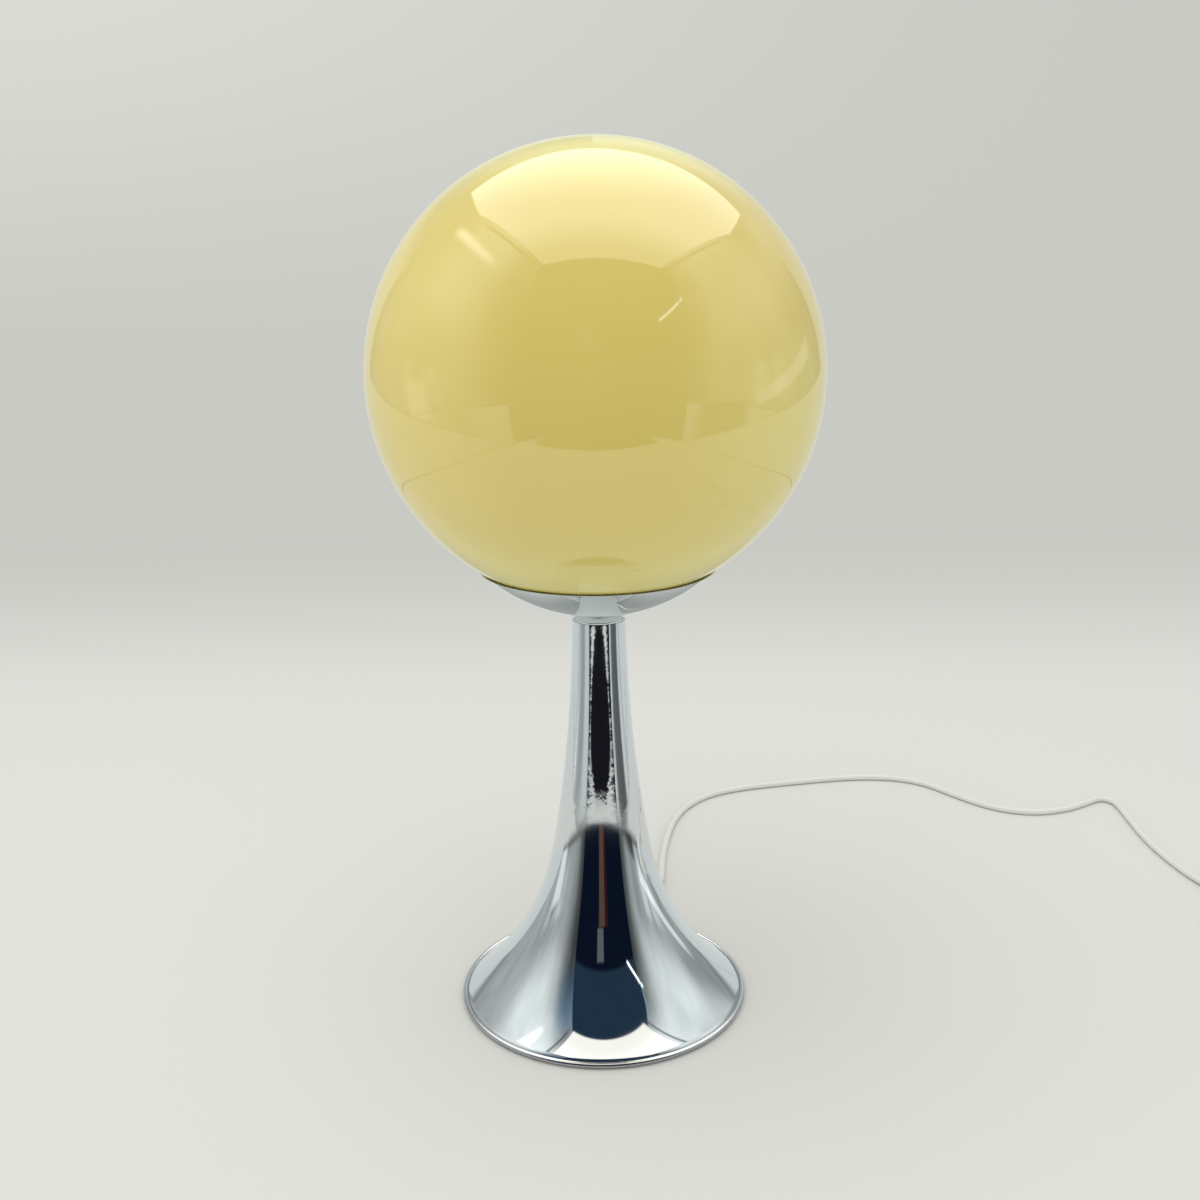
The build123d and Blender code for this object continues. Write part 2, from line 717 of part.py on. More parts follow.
with BuildPart() as bulb_dome:
    with BuildSketch(Plane.XZ):
        with BuildLine():
            crown = bulb_top - bulb_radius
            inner = bulb_radius - bulb_wall
            Line((bulb_radius, bulb_board_height), (bulb_radius, crown))
            CenterArc((0, crown), bulb_radius, 0, 90)
            Line((0, bulb_top), (0, bulb_top - bulb_wall))
            CenterArc((0, crown), inner, 0, 90)
            Polyline((inner, crown), (inner, bulb_board_height), (bulb_radius, bulb_board_height))
        make_face()
    revolve(axis=Axis.Z)
bulb_dome.part.label = "bulb_dome"

# ---------------------------------------------------------------- gland and inner lead
with BuildPart() as cord_gland:
    with BuildSketch(Plane(origin=(0, 0, gland_height), x_dir=exit_plane.z_dir, z_dir=exit_plane.x_dir)):
        with BuildLine():
            Polyline(
                (gland_flange_place, 0),
                (gland_flange_place, gland_flange_radius),
                (gland_flange_end, gland_flange_radius),
                (gland_flange_end, gland_waist_radius),
                (lip_radius, gland_waist_radius),
                (gland_end, gland_tip_radius),
                (gland_end, 0),
                close=True,
            )
        make_face()
    revolve(axis=Axis((0, 0, gland_height), exit_plane.z_dir))
    for ring in range(1, gland_ring_count + 1):    # grooves that let the gland bend
        share = ring / (gland_ring_count + 1)
        outside = gland_waist_radius + share * (gland_tip_radius - gland_waist_radius)
        ring_width = gland_length / (gland_ring_count + 1) / 2
        with BuildSketch(exit_plane.offset(lip_radius + share * gland_length - ring_width / 2)):
            with Locations((0, gland_height)):
                Circle(gland_flange_radius)
                Circle(outside - gland_ring_depth, mode=Mode.SUBTRACT)
        extrude(amount=ring_width, mode=Mode.SUBTRACT)
cord_gland.part.label = "cord_gland"

# The lead runs along the groove, turns up and climbs through the threaded tube.
lead_end = plate_top + cap_boss_height + wire_stub
with BuildPart() as inner_lead:
    with BuildLine():
        FilletPolyline(
            at_angle(gland_flange_place, cord_angle, gland_height),
            (0, 0, gland_height),
            (0, 0, lead_end),
            radius=lead_bend,
        )
    with BuildSketch(exit_plane.offset(gland_flange_place)):
        with Locations((0, gland_height)):
            Circle(cord_radius)
    sweep()
inner_lead.part.label = "inner_lead"

# Two insulated wires leave the lead and turn out to the terminals.
with BuildPart() as holder_wires:
    wire_height = terminal_bottom + wire_rise
    for side in (-1, 1):
        with BuildLine():
            FilletPolyline(
                (side * wire_offset, 0, lead_end),
                (side * wire_offset, 0, wire_height),
                (side * (terminal_offset - terminal_size[0] / 2), 0, wire_height),
                radius=wire_bend,
            )
        with BuildSketch(Plane.XY.offset(lead_end)):
            with Locations((side * wire_offset, 0)):
                Circle(wire_radius)
        sweep()
holder_wires.part.label = "holder_wires"

with BuildPart() as cord_clamp:
    with BuildSketch(Plane.XY.offset(clamp_top - clamp_size[2])):
        with Locations(Location(at_angle(clamp_place, cord_angle, 0), (0, 0, cord_angle))):
            RectangleRounded(*clamp_size[:2], clamp_corner)
            with GridLocations(0, clamp_spacing, 1, 2):
                Circle(clamp_screw_radius + running_fit, mode=Mode.SUBTRACT)
    extrude(amount=clamp_size[2])
cord_clamp.part.label = "cord_clamp"

with BuildPart() as clamp_screws:
    with BuildSketch(Plane.XY.offset(clamp_top - clamp_size[2])):
        with Locations(Location(at_angle(clamp_place, cord_angle, 0), (0, 0, cord_angle))):
            with GridLocations(0, clamp_spacing, 1, 2):
                Circle(clamp_screw_radius)
    extrude(amount=clamp_screw_length)
clamp_screws.part.label = "clamp_screws"

# ---------------------------------------------------------------- cord on the table
# Places along the cord, chosen by eye; it lies on the table except at its two fittings.
rest = cord_radius + table_gap
lead_route = [
    at_angle(gland_end, cord_angle, gland_height),
    at_angle(gland_end + 11, cord_angle, gland_height),
    (33.6, 109, 2.5),
    (34.8, 125, rest),
    (36.6, 145, rest),
    (40.5, 169, rest),
    (46, 193, rest),
    (56, 215, rest),
    (73, 233, rest),
    (99, 243.5, rest),
    (134, 251, rest),
    (167, 257.3, rest),
    (196, 256.6, rest),
    (218, 246.5, rest),
    (234, 224, rest),
    (252, 203.5, rest),
    (275, 194.5, rest),
    (299, 200, rest),
    (316, 210.5, rest),
    (325.5, 216.8, rest),
    (332.8, 212.5, rest),
    (333.6, 201, rest),
    (332.4, 182, rest),
    (331.0, 156, rest),
    (332.8, 130, rest),
    (336.2, 110, rest),
    (340.8, 93, 2.3),
    (switch_centre[0], switch_centre[1] + switch_length / 2 + 13, switch_seam),
    (switch_centre[0], switch_centre[1] + switch_length / 2, switch_seam),
]
coil_centre = (switch_centre[0] - coil_outer_turn, coil_centre_y)
top_layer = rest + (coil_layers - 1) * coil_pitch
link_route = [
    (switch_centre[0], switch_centre[1] - switch_length / 2, switch_seam),
    (switch_centre[0], switch_centre[1] - switch_length / 2 - 9, switch_seam),
    (switch_centre[0], coil_centre_y + coil_lead + 10, rest),
    (switch_centre[0], coil_centre_y + coil_lead, rest),
]
plug_axis = plug_face[1] / 2
plug_back_y = coil_centre_y - coil_lead - 32
tail_route = [
    (switch_centre[0], coil_centre_y - coil_lead, top_layer),
    (switch_centre[0], coil_centre_y - coil_lead - 9, top_layer),
    (switch_centre[0], plug_back_y + 10, plug_axis),
    (switch_centre[0], plug_back_y, plug_axis),
]


def corner_radii(route):
    """Largest arc that fits each corner: 0.45 of its shorter run over the half turn's tangent."""
    radii = []
    for before, corner, after in zip(route, route[1:], route[2:]):
        into, out = Vector(corner) - Vector(before), Vector(after) - Vector(corner)
        half_turn = radians(into.get_angle(out)) / 2
        radii.append(0.45 * min(into.length, out.length) / tan(half_turn))
    return radii


def cord_tube(name, route):
    """Round cord along straight runs joined by arcs."""
    radii = corner_radii(route)
    with BuildPart() as tube:
        with BuildLine() as path:
            FilletPolyline(*route, radius=radii)
        spine = path.wires()[0]
        with BuildSketch(Plane(origin=spine @ 0, z_dir=spine % 0)):
            Circle(cord_radius)
        sweep(path=spine)
    ratio = tube.part.volume / (pi * cord_radius**2 * spine.length)
    print(name, "length", round(spine.length, 1), "volume over section times length", round(ratio, 4))
    print("  arc radii", [round(radius) for radius in radii])
    return tube


cord_lead = cord_tube("cord_lead", lead_route)
cord_lead.part.label = "cord_lead"
cord_link = cord_tube("cord_link", link_route)
cord_link.part.label = "cord_link"
cord_tail = cord_tube("cord_tail", tail_route)
cord_tail.part.label = "cord_tail"

with BuildPart() as cord_coil:
    with BuildSketch():
        with Locations(coil_centre):
            Circle(coil_outer_turn + rest)
            Circle(coil_outer_turn - (coil_turns_wide - 1) * coil_pitch - rest, mode=Mode.SUBTRACT)
    extrude(amount=top_layer + rest)
    fillet(edges().filter_by(GeomType.CIRCLE), cord_radius - coil_edge)
    for height, way in ((rest, -1), (top_layer, 1)):
        with BuildSketch(Plane.XZ.offset(-coil_centre_y)):
            with Locations((switch_centre[0], height)):
                Circle(cord_radius)
        extrude(amount=way * coil_lead)
cord_coil.part.label = "cord_coil"

# ---------------------------------------------------------------- switch on the cord
switch_screw_place = switch_length - 2 * switch_screw_margin
inner_size = (switch_width - 2 * switch_wall, switch_length - 2 * switch_wall)
with BuildPart() as switch_base:
    with BuildSketch():
        with Locations(switch_centre):
            RectangleRounded(switch_width, switch_length, switch_corner)
    extrude(amount=switch_seam)
    fillet(edges().group_by(Axis.Z)[0], switch_base_round)
    with BuildSketch(Plane.XY.offset(switch_wall)):
        with Locations(switch_centre):
            RectangleRounded(*inner_size, switch_corner - switch_wall)
            with GridLocations(0, switch_screw_place, 1, 2):
                Circle(switch_boss, mode=Mode.SUBTRACT)
    extrude(amount=switch_seam, mode=Mode.SUBTRACT)
    with BuildSketch():
        with Locations(switch_centre):
            with GridLocations(0, switch_screw_place, 1, 2):
                Circle(switch_screw_radius + running_fit)
    extrude(amount=switch_seam, mode=Mode.SUBTRACT)
    with BuildSketch():
        with Locations(switch_centre):
            with GridLocations(0, switch_screw_place, 1, 2):
                Circle(2 * switch_screw_radius)
    extrude(amount=switch_screw_sink + switch_screw_head, mode=Mode.SUBTRACT)
switch_base.part.label = "switch_base"

rocker_reach = hypot(rocker_length / 2, rocker_top)
inner_ceiling = switch_height - switch_wall
cheek_width = stub_length + 2 * stub_room
window_half = sqrt(rocker_reach**2 - (inner_ceiling - rocker_pivot_height) ** 2) + rocker_gap
with BuildPart() as switch_cover:
    with BuildSketch(Plane.XY.offset(switch_seam)):
        with Locations(switch_centre):
            RectangleRounded(switch_width, switch_length, switch_corner)
    extrude(amount=switch_height - switch_seam)
    fillet(edges().group_by(Axis.Z)[-1], switch_cover_round)
    with BuildSketch(Plane.XY.offset(switch_seam)):
        with Locations(switch_centre):
            RectangleRounded(
                inner_size[0] - 2 * switch_cover_extra,
                inner_size[1] - 2 * switch_cover_extra,
                switch_corner - switch_wall - switch_cover_extra,
            )
            with GridLocations(0, switch_screw_place, 1, 2):
                Circle(switch_boss, mode=Mode.SUBTRACT)
            with GridLocations(rocker_width + 2 * rocker_gap + cheek_width, 0, 2, 1):
                Rectangle(cheek_width, 3 * stub_radius, mode=Mode.SUBTRACT)
    extrude(amount=inner_ceiling - switch_seam, mode=Mode.SUBTRACT)
    with BuildSketch(Plane.XY.offset(switch_seam)):
        with Locations(switch_centre):
            Rectangle(rocker_width + 2 * rocker_gap, 2 * window_half)
    extrude(amount=switch_height, mode=Mode.SUBTRACT)
    with BuildSketch(Plane.XY.offset(switch_seam)):
        with Locations(switch_centre):
            with GridLocations(0, switch_screw_place, 1, 2):
                Circle(switch_screw_radius + running_fit)
    extrude(amount=switch_screw_depth + switch_screw_sink, mode=Mode.SUBTRACT)
    pivot_plane = Plane(
        origin=(*switch_centre, rocker_pivot_height), x_dir=(0, 1, 0), z_dir=(1, 0, 0)
    )
    with BuildSketch(pivot_plane):
        Circle(stub_radius + running_fit)
    extrude(amount=rocker_width / 2 + rocker_gap + stub_length + stub_room, both=True, mode=Mode.SUBTRACT)
switch_cover.part.label = "switch_cover"

# The rocker turns in the cover's cheeks.  It is drawn as it rests, its far end pressed down.
tilt = radians(rocker_tilt)
rocker_plane = Plane(origin=pivot_plane.origin, x_dir=(0, cos(tilt), sin(tilt)), z_dir=(1, 0, 0))
with BuildPart() as switch_rocker:
    with BuildSketch(rocker_plane):
        with BuildLine():
            wide = sqrt(rocker_reach**2 - rocker_skirt**2)
            middle = sqrt(rocker_reach**2 - rocker_bulge**2)
            ends = rocker_length / 2
            ThreePointArc((ends, rocker_top), (middle, rocker_bulge), (wide, -rocker_skirt))
            Line((wide, -rocker_skirt), (-wide, -rocker_skirt))
            ThreePointArc((-wide, -rocker_skirt), (-middle, rocker_bulge), (-ends, rocker_top))
            ThreePointArc((-ends, rocker_top), (0, rocker_top - rocker_dip), (ends, rocker_top))
        make_face()
    extrude(amount=rocker_width / 2, both=True)
    with BuildSketch(rocker_plane):
        Circle(stub_radius)
    extrude(amount=rocker_width / 2 + stub_length, both=True)
switch_rocker.part.label = "switch_rocker"

with BuildPart() as switch_screws:
    with BuildSketch(Plane.XY.offset(switch_screw_sink)):
        with Locations(switch_centre):
            with GridLocations(0, switch_screw_place, 1, 2):
                Circle(2 * switch_screw_radius - running_fit)
    extrude(amount=switch_screw_head)
    with BuildSketch(Plane.XY.offset(switch_screw_sink)):
        with Locations(switch_centre):
            with GridLocations(0, switch_screw_place, 1, 2):
                Circle(switch_screw_radius)
    extrude(amount=switch_seam + switch_screw_depth - switch_screw_sink)
switch_screws.part.label = "switch_screws"

with BuildPart() as switch_contacts:
    with BuildSketch(Plane.XY.offset(switch_wall)):
        with Locations(switch_centre):
            with GridLocations(0, switch_contact_spacing, 1, 2):
                Rectangle(*switch_contact_size[:2])
    extrude(amount=switch_contact_size[2])
switch_contacts.part.label = "switch_contacts"

with BuildPart() as switch_cord_clamps:
    with BuildSketch(Plane.XY.offset(switch_wall)):
        with Locations(switch_centre):
            with GridLocations(0, switch_length - 2 * switch_clamp_margin, 1, 2):
                Rectangle(*switch_clamp_size)
    extrude(amount=switch_seam - switch_wall - cord_radius)
switch_cord_clamps.part.label = "switch_cord_clamps"

# ---------------------------------------------------------------- plug
plug_plane = Plane(
    origin=(switch_centre[0], plug_back_y, plug_axis), x_dir=(1, 0, 0), z_dir=(0, -1, 0)
)
body_start = plug_relief_length
body_taper = plug_length - plug_grip
face_plane = plug_plane.offset(body_start + plug_length)
with BuildPart() as plug_body:
    with BuildSketch(plug_plane):
        Circle(plug_relief_radius)
    with BuildSketch(plug_plane.offset(body_start)):
        Circle(plug_relief_root)
    loft()
    with BuildSketch(plug_plane.offset(body_start)):
        RectangleRounded(*plug_back, plug_back[1] / 2 - plug_corner)
    with BuildSketch(plug_plane.offset(body_start + body_taper)):
        RectangleRounded(*plug_face, plug_face[1] / 2 - plug_corner)
    loft()
    with BuildSketch(plug_plane.offset(body_start + body_taper)):
        RectangleRounded(*plug_face, plug_face[1] / 2 - plug_corner)
    extrude(amount=plug_length - body_taper)
    with BuildSketch(face_plane):
        with GridLocations(pin_spacing, 0, 2, 1):
            Circle(pin_sleeve_radius)
    extrude(amount=pin_sleeve_length)
    with BuildSketch(face_plane.offset(-pin_depth)):
        with GridLocations(pin_spacing, 0, 2, 1):
            Circle(pin_core_radius + pin_core_play)
    extrude(amount=pin_depth + pin_sleeve_length, mode=Mode.SUBTRACT)
plug_body.part.label = "plug_body"

with BuildPart() as plug_pins:
    with BuildSketch(face_plane.offset(-pin_depth)):
        with GridLocations(pin_spacing, 0, 2, 1):
            Circle(pin_core_radius)
    extrude(amount=pin_depth + pin_sleeve_length)
    with BuildSketch(face_plane.offset(pin_sleeve_length)):
        with GridLocations(pin_spacing, 0, 2, 1):
            Circle(pin_radius)
    extrude(amount=pin_length - pin_sleeve_length)
    fillet(edges().filter_by(GeomType.CIRCLE).group_by(Axis.Y)[0], pin_round)
plug_pins.part.label = "plug_pins"

# ---------------------------------------------------------------- one file for each piece
os.makedirs("parts", exist_ok=True)
for piece in (
    trumpet_shell, neck_collar, globe_dish, dish_seat_ring, base_weight, foot_pad,
    threaded_tube, base_washer, base_nut, dish_washer, dish_nut,
    spring_plate, globe_springs, spring_rivets,
    holder_cap, holder_sleeve, holder_insulator, holder_screw_shell, centre_contact,
    terminal_blocks, terminal_screws, holder_wires, glass_globe,
    bulb_tip, bulb_insulator, bulb_screw_cap, bulb_housing, bulb_led_board, bulb_dome,
    cord_gland, inner_lead, cord_clamp, clamp_screws,
    cord_lead, cord_link, cord_coil, cord_tail,
    switch_base, switch_cover, switch_rocker, switch_screws, switch_contacts, switch_cord_clamps,
    plug_body, plug_pins,
):
    export_step(piece.part, f"parts/{piece.part.label}.step")
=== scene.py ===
"""Glass globe table lamp: its visible pieces, finishes and stage, as a Blender add-on."""
import math

import bpy
from mathutils import Matrix, Vector


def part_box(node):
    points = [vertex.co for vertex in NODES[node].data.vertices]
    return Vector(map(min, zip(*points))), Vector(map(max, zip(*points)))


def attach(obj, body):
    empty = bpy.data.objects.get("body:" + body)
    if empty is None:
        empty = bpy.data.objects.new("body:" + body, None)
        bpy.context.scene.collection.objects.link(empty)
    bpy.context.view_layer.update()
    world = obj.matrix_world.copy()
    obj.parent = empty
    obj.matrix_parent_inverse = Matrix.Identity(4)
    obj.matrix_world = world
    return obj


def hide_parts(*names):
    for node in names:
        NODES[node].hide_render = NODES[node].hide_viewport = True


bl_info = {
    "name": "Glass Globe Table Lamp",
    "version": (1, 0, 0),
    "blender": (4, 5, 0),
    "location": "View3D > Sidebar > Lamp",
    "description": "Builds a chrome table lamp with a glass globe, its cord and a plain stage",
    "category": "Add Mesh",
}

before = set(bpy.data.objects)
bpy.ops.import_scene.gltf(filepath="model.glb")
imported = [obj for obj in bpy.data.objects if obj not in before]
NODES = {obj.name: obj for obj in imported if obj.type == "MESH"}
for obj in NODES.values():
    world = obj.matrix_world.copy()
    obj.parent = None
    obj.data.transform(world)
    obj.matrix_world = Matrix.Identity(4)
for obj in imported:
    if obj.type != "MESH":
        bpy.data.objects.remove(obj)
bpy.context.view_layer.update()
UP = Vector((0, 0, 1))
CORD_WAY = math.radians(72.0)       # where the cord leaves the foot, from +X towards the back
GLAND_HEIGHT = 0.0049               # height of the cord's middle there
ON_TABLE = 0.00185                  # height of the cord's middle where it lies on the table
IN_SWITCH = 0.0065                  # height of the cord's middle inside the switch
IN_PLUG = 0.00685                   # height of the cord's middle inside the plug
TUBE_HOLE = 0.0051                  # radius of the hole that the threaded tube passes through
DEGREES = 57.3                      # in one radian, for the mirrored room
ALL_ROUND = 2 * math.pi

GLOBE_LOW, GLOBE_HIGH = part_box("glass_globe")
GLOBE_RADIUS = (GLOBE_HIGH.x - GLOBE_LOW.x) / 2
GLOBE_CENTRE = GLOBE_HIGH.z - GLOBE_RADIUS
GLASS_WALL = 0.0025


# ------------------------------------------------------------------ shader maths
class Wire:
    """A node's output socket that takes part in Python sums."""

    def __init__(self, finish, socket):
        self.finish = finish
        self.socket = socket

    def _sum(self, operation, other, swapped=False):
        pair = (other, self) if swapped else (self, other)
        return self.finish.node("ShaderNodeMath", {"operation": operation}, dict(enumerate(pair)))

    def __add__(self, other):
        return self._sum("ADD", other)

    def __sub__(self, other):
        return self._sum("SUBTRACT", other)

    def __mul__(self, other):
        return self._sum("MULTIPLY", other)

    def __truediv__(self, other):
        return self._sum("DIVIDE", other)

    def __pow__(self, other):
        return self._sum("POWER", other)

    def __radd__(self, other):
        return self._sum("ADD", other, True)

    def __rsub__(self, other):
        return self._sum("SUBTRACT", other, True)

    def apply(self, operation, other=0.0):
        """Any other Math operation on this wire."""
        return self._sum(operation, other)

    def step(self, low, high):
        """0 below low, 1 above high and smooth between them; low above high turns it round."""
        flip = low > high
        values = {0: self, 1: min(low, high), 2: max(low, high)}
        values.update({3: 1.0, 4: 0.0} if flip else {3: 0.0, 4: 1.0})
        smooth = {"interpolation_type": "SMOOTHSTEP"}
        return self.finish.node("ShaderNodeMapRange", smooth, values)


class Finish:
    """Builds one node tree: a material's or the world's."""

    def __init__(self, tree):
        self.tree = tree
        tree.nodes.clear()

    def node(self, kind, settings=None, values=None, outlet=0):
        """Add a node, set it up, give its sockets values or links, and return one output."""
        made = self.tree.nodes.new(kind)
        for key, value in (settings or {}).items():
            setattr(made, key, value)
        for key, value in (values or {}).items():
            if isinstance(value, Wire):
                self.tree.links.new(value.socket, made.inputs[key])
            elif made.inputs[key].type == "RGBA" and len(value) == 3:
                made.inputs[key].default_value = (*value, 1.0)
            else:
                made.inputs[key].default_value = value
        return Wire(self, made.outputs[outlet]) if made.outputs else None

    def place(self):
        """Object coordinates, the same on every piece."""
        return self.node("ShaderNodeTexCoord", outlet="Object")

    def parts(self, vector):
        """The three numbers of a vector."""
        first = self.node("ShaderNodeSeparateXYZ", values={0: vector})
        return [Wire(self, first.socket.node.outputs[i]) for i in range(3)]

    def stretched(self, vector, scale):
        """A vector with each part multiplied."""
        return self.node("ShaderNodeVectorMath", {"operation": "MULTIPLY"}, {0: vector, 1: scale})

    def noise(self, vector, scale, detail=2.0, roughness=0.5):
        """Noise from 0 to 1."""
        return self.node(
            "ShaderNodeTexNoise", None,
            {"Vector": vector, "Scale": scale, "Detail": detail, "Roughness": roughness},
        )

    def mix(self, share, first, second):
        """Blend two colours."""
        return self.node(
            "ShaderNodeMix", {"data_type": "RGBA"}, {0: share, 6: first, 7: second}, outlet=2
        )

    def ray(self, name):
        """1 for rays of one kind, such as Is Camera Ray."""
        return self.node("ShaderNodeLightPath", outlet=name)

    def bump(self, height, distance):
        """Normal of a height in units of distance, in metres."""
        values = {"Height": height, "Distance": distance, "Strength": 1.0}
        return self.node("ShaderNodeBump", None, values)

    def surface(self, **sockets):
        """Principled shader to the output; an underscore in a name stands for a space."""
        values = {key.replace("_", " "): value for key, value in sockets.items()}
        shader = self.node("ShaderNodeBsdfPrincipled", None, values)
        self.node("ShaderNodeOutputMaterial", None, {"Surface": shader})


def new_finish(name):
    """An empty material and its builder."""
    material = bpy.data.materials.new(name)
    material.use_nodes = True
    return material, Finish(material.node_tree)


def linear(red, green, blue):
    """A colour written as screen values from 0 to 255."""
    return tuple(((c / 255 + 0.055) / 1.055) ** 2.4 if c > 10 else c / 255 / 12.92
                 for c in (red, green, blue))


# ------------------------------------------------------------------ finishes
def mirror_chrome():
    """Plated spun steel: a mirror with orange peel up the stem, faint smudges and a duller lip
    with painted shade.
    """
    material, f = new_finish("mirror_chrome")
    place = f.place()
    height = f.parts(place)[2]
    lip_top, peel_from, peel_to = 0.00295, 0.102, 0.1905
    upper = height.step(peel_from - 0.006, peel_from + 0.006)
    upper = upper * height.step(peel_to + 0.001, peel_to - 0.001)
    ripple = f.noise(f.stretched(place, (1.0, 1.0, 0.7)), 260.0, 2.0, 0.5)
    swell = f.noise(place, 34.0, 1.0)
    relief = ripple * (0.02 + upper * 0.60) + swell * 0.8
    smudge = f.noise(place, 18.0, 4.0, 0.65).step(0.45, 0.75)
    # the lip round the foot is rougher, and its darker grey base colour is painted shade that
    # damps its highlight
    lip = height.step(lip_top + 0.00025, lip_top - 0.00025)
    polished = f.mix(smudge * 0.5, (0.73, 0.765, 0.785), (0.69, 0.72, 0.74))
    f.surface(
        Base_Color=f.mix(lip, polished, (0.50, 0.51, 0.535)),
        Metallic=1.0,
        Roughness=0.03 + smudge * 0.04 + lip * 0.22,
        Normal=f.bump(relief, 0.00004),
    )
    return material


def opal_glass():
    """Butter-yellow opal glass with a hard gloss and painted light on its sides, bottom and top;
    its inner wall is paler and duller.
    """
    material, f = new_finish("opal_glass")
    place = f.place()
    x, y, z = f.parts(place)
    rise = z - GLOBE_CENTRE
    radius = (x * x + y * y + rise * rise).apply("SQRT")
    outside = radius.step(GLOBE_RADIUS - 0.68 * GLASS_WALL, GLOBE_RADIUS - 0.32 * GLASS_WALL)
    cloud = f.noise(place, 7.0, 3.0, 0.5)
    yellow = f.mix(cloud.step(0.3, 0.7), linear(221, 201, 111), linear(225, 205, 117))
    # painted light: the glass is tinted paler on its left, at its bottom and at its top, and
    # greener low on its right, where light falls on it
    painted_light_left = x.step(-0.02, -0.09) * 0.85
    painted_green_light_right = x.step(0.01, 0.09) * rise.step(0.05, -0.02) * 0.8
    painted_floor_light_low = rise.step(-0.04, -0.095) * 0.85
    painted_top_light = rise.step(0.07, 0.098)
    for share, tint in (
        (painted_light_left, linear(240, 221, 130)),
        (painted_green_light_right, linear(230, 217, 131)),
        (painted_floor_light_low, linear(238, 227, 143)),
        (painted_top_light, linear(247, 238, 160)),
    ):
        yellow = f.mix(share, yellow, tint)
    f.surface(
        Base_Color=f.mix(outside, linear(238, 232, 205), yellow),
        Roughness=0.45 - outside * 0.42,
        IOR=1.80,
        Normal=f.bump(cloud, 0.0004),
    )
    return material


def plain(name, colour, roughness, metallic=0.0, grain=300.0, depth=0.00002, spread=0.12,
          coat=0.0):
    """Moulded, cast or plated stuff: a colour with a little unevenness and fine relief."""
    material, f = new_finish(name)
    place = f.place()
    patches = f.noise(place, 35.0, 3.0)
    grains = f.noise(place, grain, 3.0, 0.6)
    darker = tuple(c * (1 - spread) for c in colour)
    f.surface(
        Base_Color=f.mix(patches, darker, colour),
        Metallic=metallic,
        Roughness=roughness + (grains - 0.5) * 0.12,
        Coat_Weight=coat,
        Coat_Roughness=0.08,
        Normal=f.bump(grains, depth),
    )
    return material


def give(material, *names):
    """Put a finish in every slot of CAD nodes."""
    for name in names:
        for slot in NODES[name].material_slots:
            slot.material = material


# ------------------------------------------------------------------ modelling helpers
JOINED = 1e-6           # points nearer than this are one
FLAT_EDGE = math.radians(35)


def deselect():
    """Leave nothing selected."""
    bpy.ops.object.select_all(action="DESELECT")
    bpy.context.view_layer.objects.active = None


def turned(name, outline, steps=192, close=True):
    """Spin an outline of (radius, height) points round the stand's axis."""
    deselect()
    bpy.ops.mesh.primitive_plane_add(size=0.01, location=(0, 0, 0))
    piece = bpy.context.object
    piece.name = name
    bpy.ops.object.mode_set(mode="EDIT")
    bpy.ops.mesh.select_all(action="SELECT")
    bpy.ops.mesh.merge(type="CENTER")
    bpy.ops.transform.translate(value=(outline[0][0], 0, outline[0][1]))
    points = list(outline[1:]) + ([outline[0]] if close else [])
    for (r0, z0), (r1, z1) in zip(outline, points):
        move = {"value": (r1 - r0, 0, z1 - z0)}
        bpy.ops.mesh.extrude_region_move(TRANSFORM_OT_translate=move)
    bpy.ops.mesh.select_all(action="SELECT")
    bpy.ops.mesh.remove_doubles(threshold=JOINED)
    bpy.ops.mesh.spin(steps=steps, angle=ALL_ROUND, center=(0, 0, 0), axis=(0, 0, 1))
    bpy.ops.mesh.select_all(action="SELECT")
    bpy.ops.mesh.remove_doubles(threshold=JOINED)
    bpy.ops.mesh.normals_make_consistent(inside=False)
    bpy.ops.object.mode_set(mode="OBJECT")
    bpy.ops.object.shade_smooth_by_angle(angle=FLAT_EDGE)
    return piece


def arc(centre, radius, start, end, count):
    """Points on a circle in the outline's plane, angles in radians from the outward direction."""
    return [
        (centre[0] + radius * math.cos(start + (end - start) * i / count),
         centre[1] + radius * math.sin(start + (end - start) * i / count))
        for i in range(count + 1)
    ]


def finish_piece(piece, material, body, *replaced):
    """Give a new piece its finish, its body and the CAD nodes it stands for."""
    piece.data.materials.clear()
    piece.data.materials.append(material)
    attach(piece, body)
    if replaced:
        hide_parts(*replaced)


# ------------------------------------------------------------------ settings a user would change
class StandSettings(bpy.types.PropertyGroup):
    """Outline of the spun stand, its dish and neck."""

    waist_radius: bpy.props.FloatProperty(
        name="Waist Radius", description="Stem radius where the upper arc stands upright",
        default=0.01231, unit="LENGTH")
    waist_height: bpy.props.FloatProperty(
        name="Waist Height", description="Height of that place", default=0.1995, unit="LENGTH")
    stem_curve: bpy.props.FloatProperty(
        name="Stem Curve", description="Radius of the long upper arc",
        default=0.6683, unit="LENGTH")
    foot_curve: bpy.props.FloatProperty(
        name="Foot Curve", description="Radius of the arc that runs out to the foot",
        default=0.1173, unit="LENGTH")
    join_height: bpy.props.FloatProperty(
        name="Join Height", description="Height where the two arcs meet",
        default=0.0726, unit="LENGTH")
    easing: bpy.props.FloatProperty(
        name="Easing", description="Run over which one arc turns into the other, each way",
        default=0.014, unit="LENGTH")
    wall: bpy.props.FloatProperty(
        name="Wall", description="Thickness of the spun steel", default=0.0012, unit="LENGTH")
    lip: bpy.props.FloatProperty(
        name="Lip", description="Height of the rounded lip round the foot",
        default=0.0024, unit="LENGTH")
    dish_curve: bpy.props.FloatProperty(
        name="Dish Curve", description="Outer radius of the dish's bowl",
        default=0.0785, unit="LENGTH")
    dish_wall: bpy.props.FloatProperty(
        name="Dish Wall", description="Thickness of the dish", default=0.001, unit="LENGTH")
    neck_top: bpy.props.FloatProperty(
        name="Neck Top", description="Radius of the neck where it meets the dish",
        default=0.0083, unit="LENGTH")


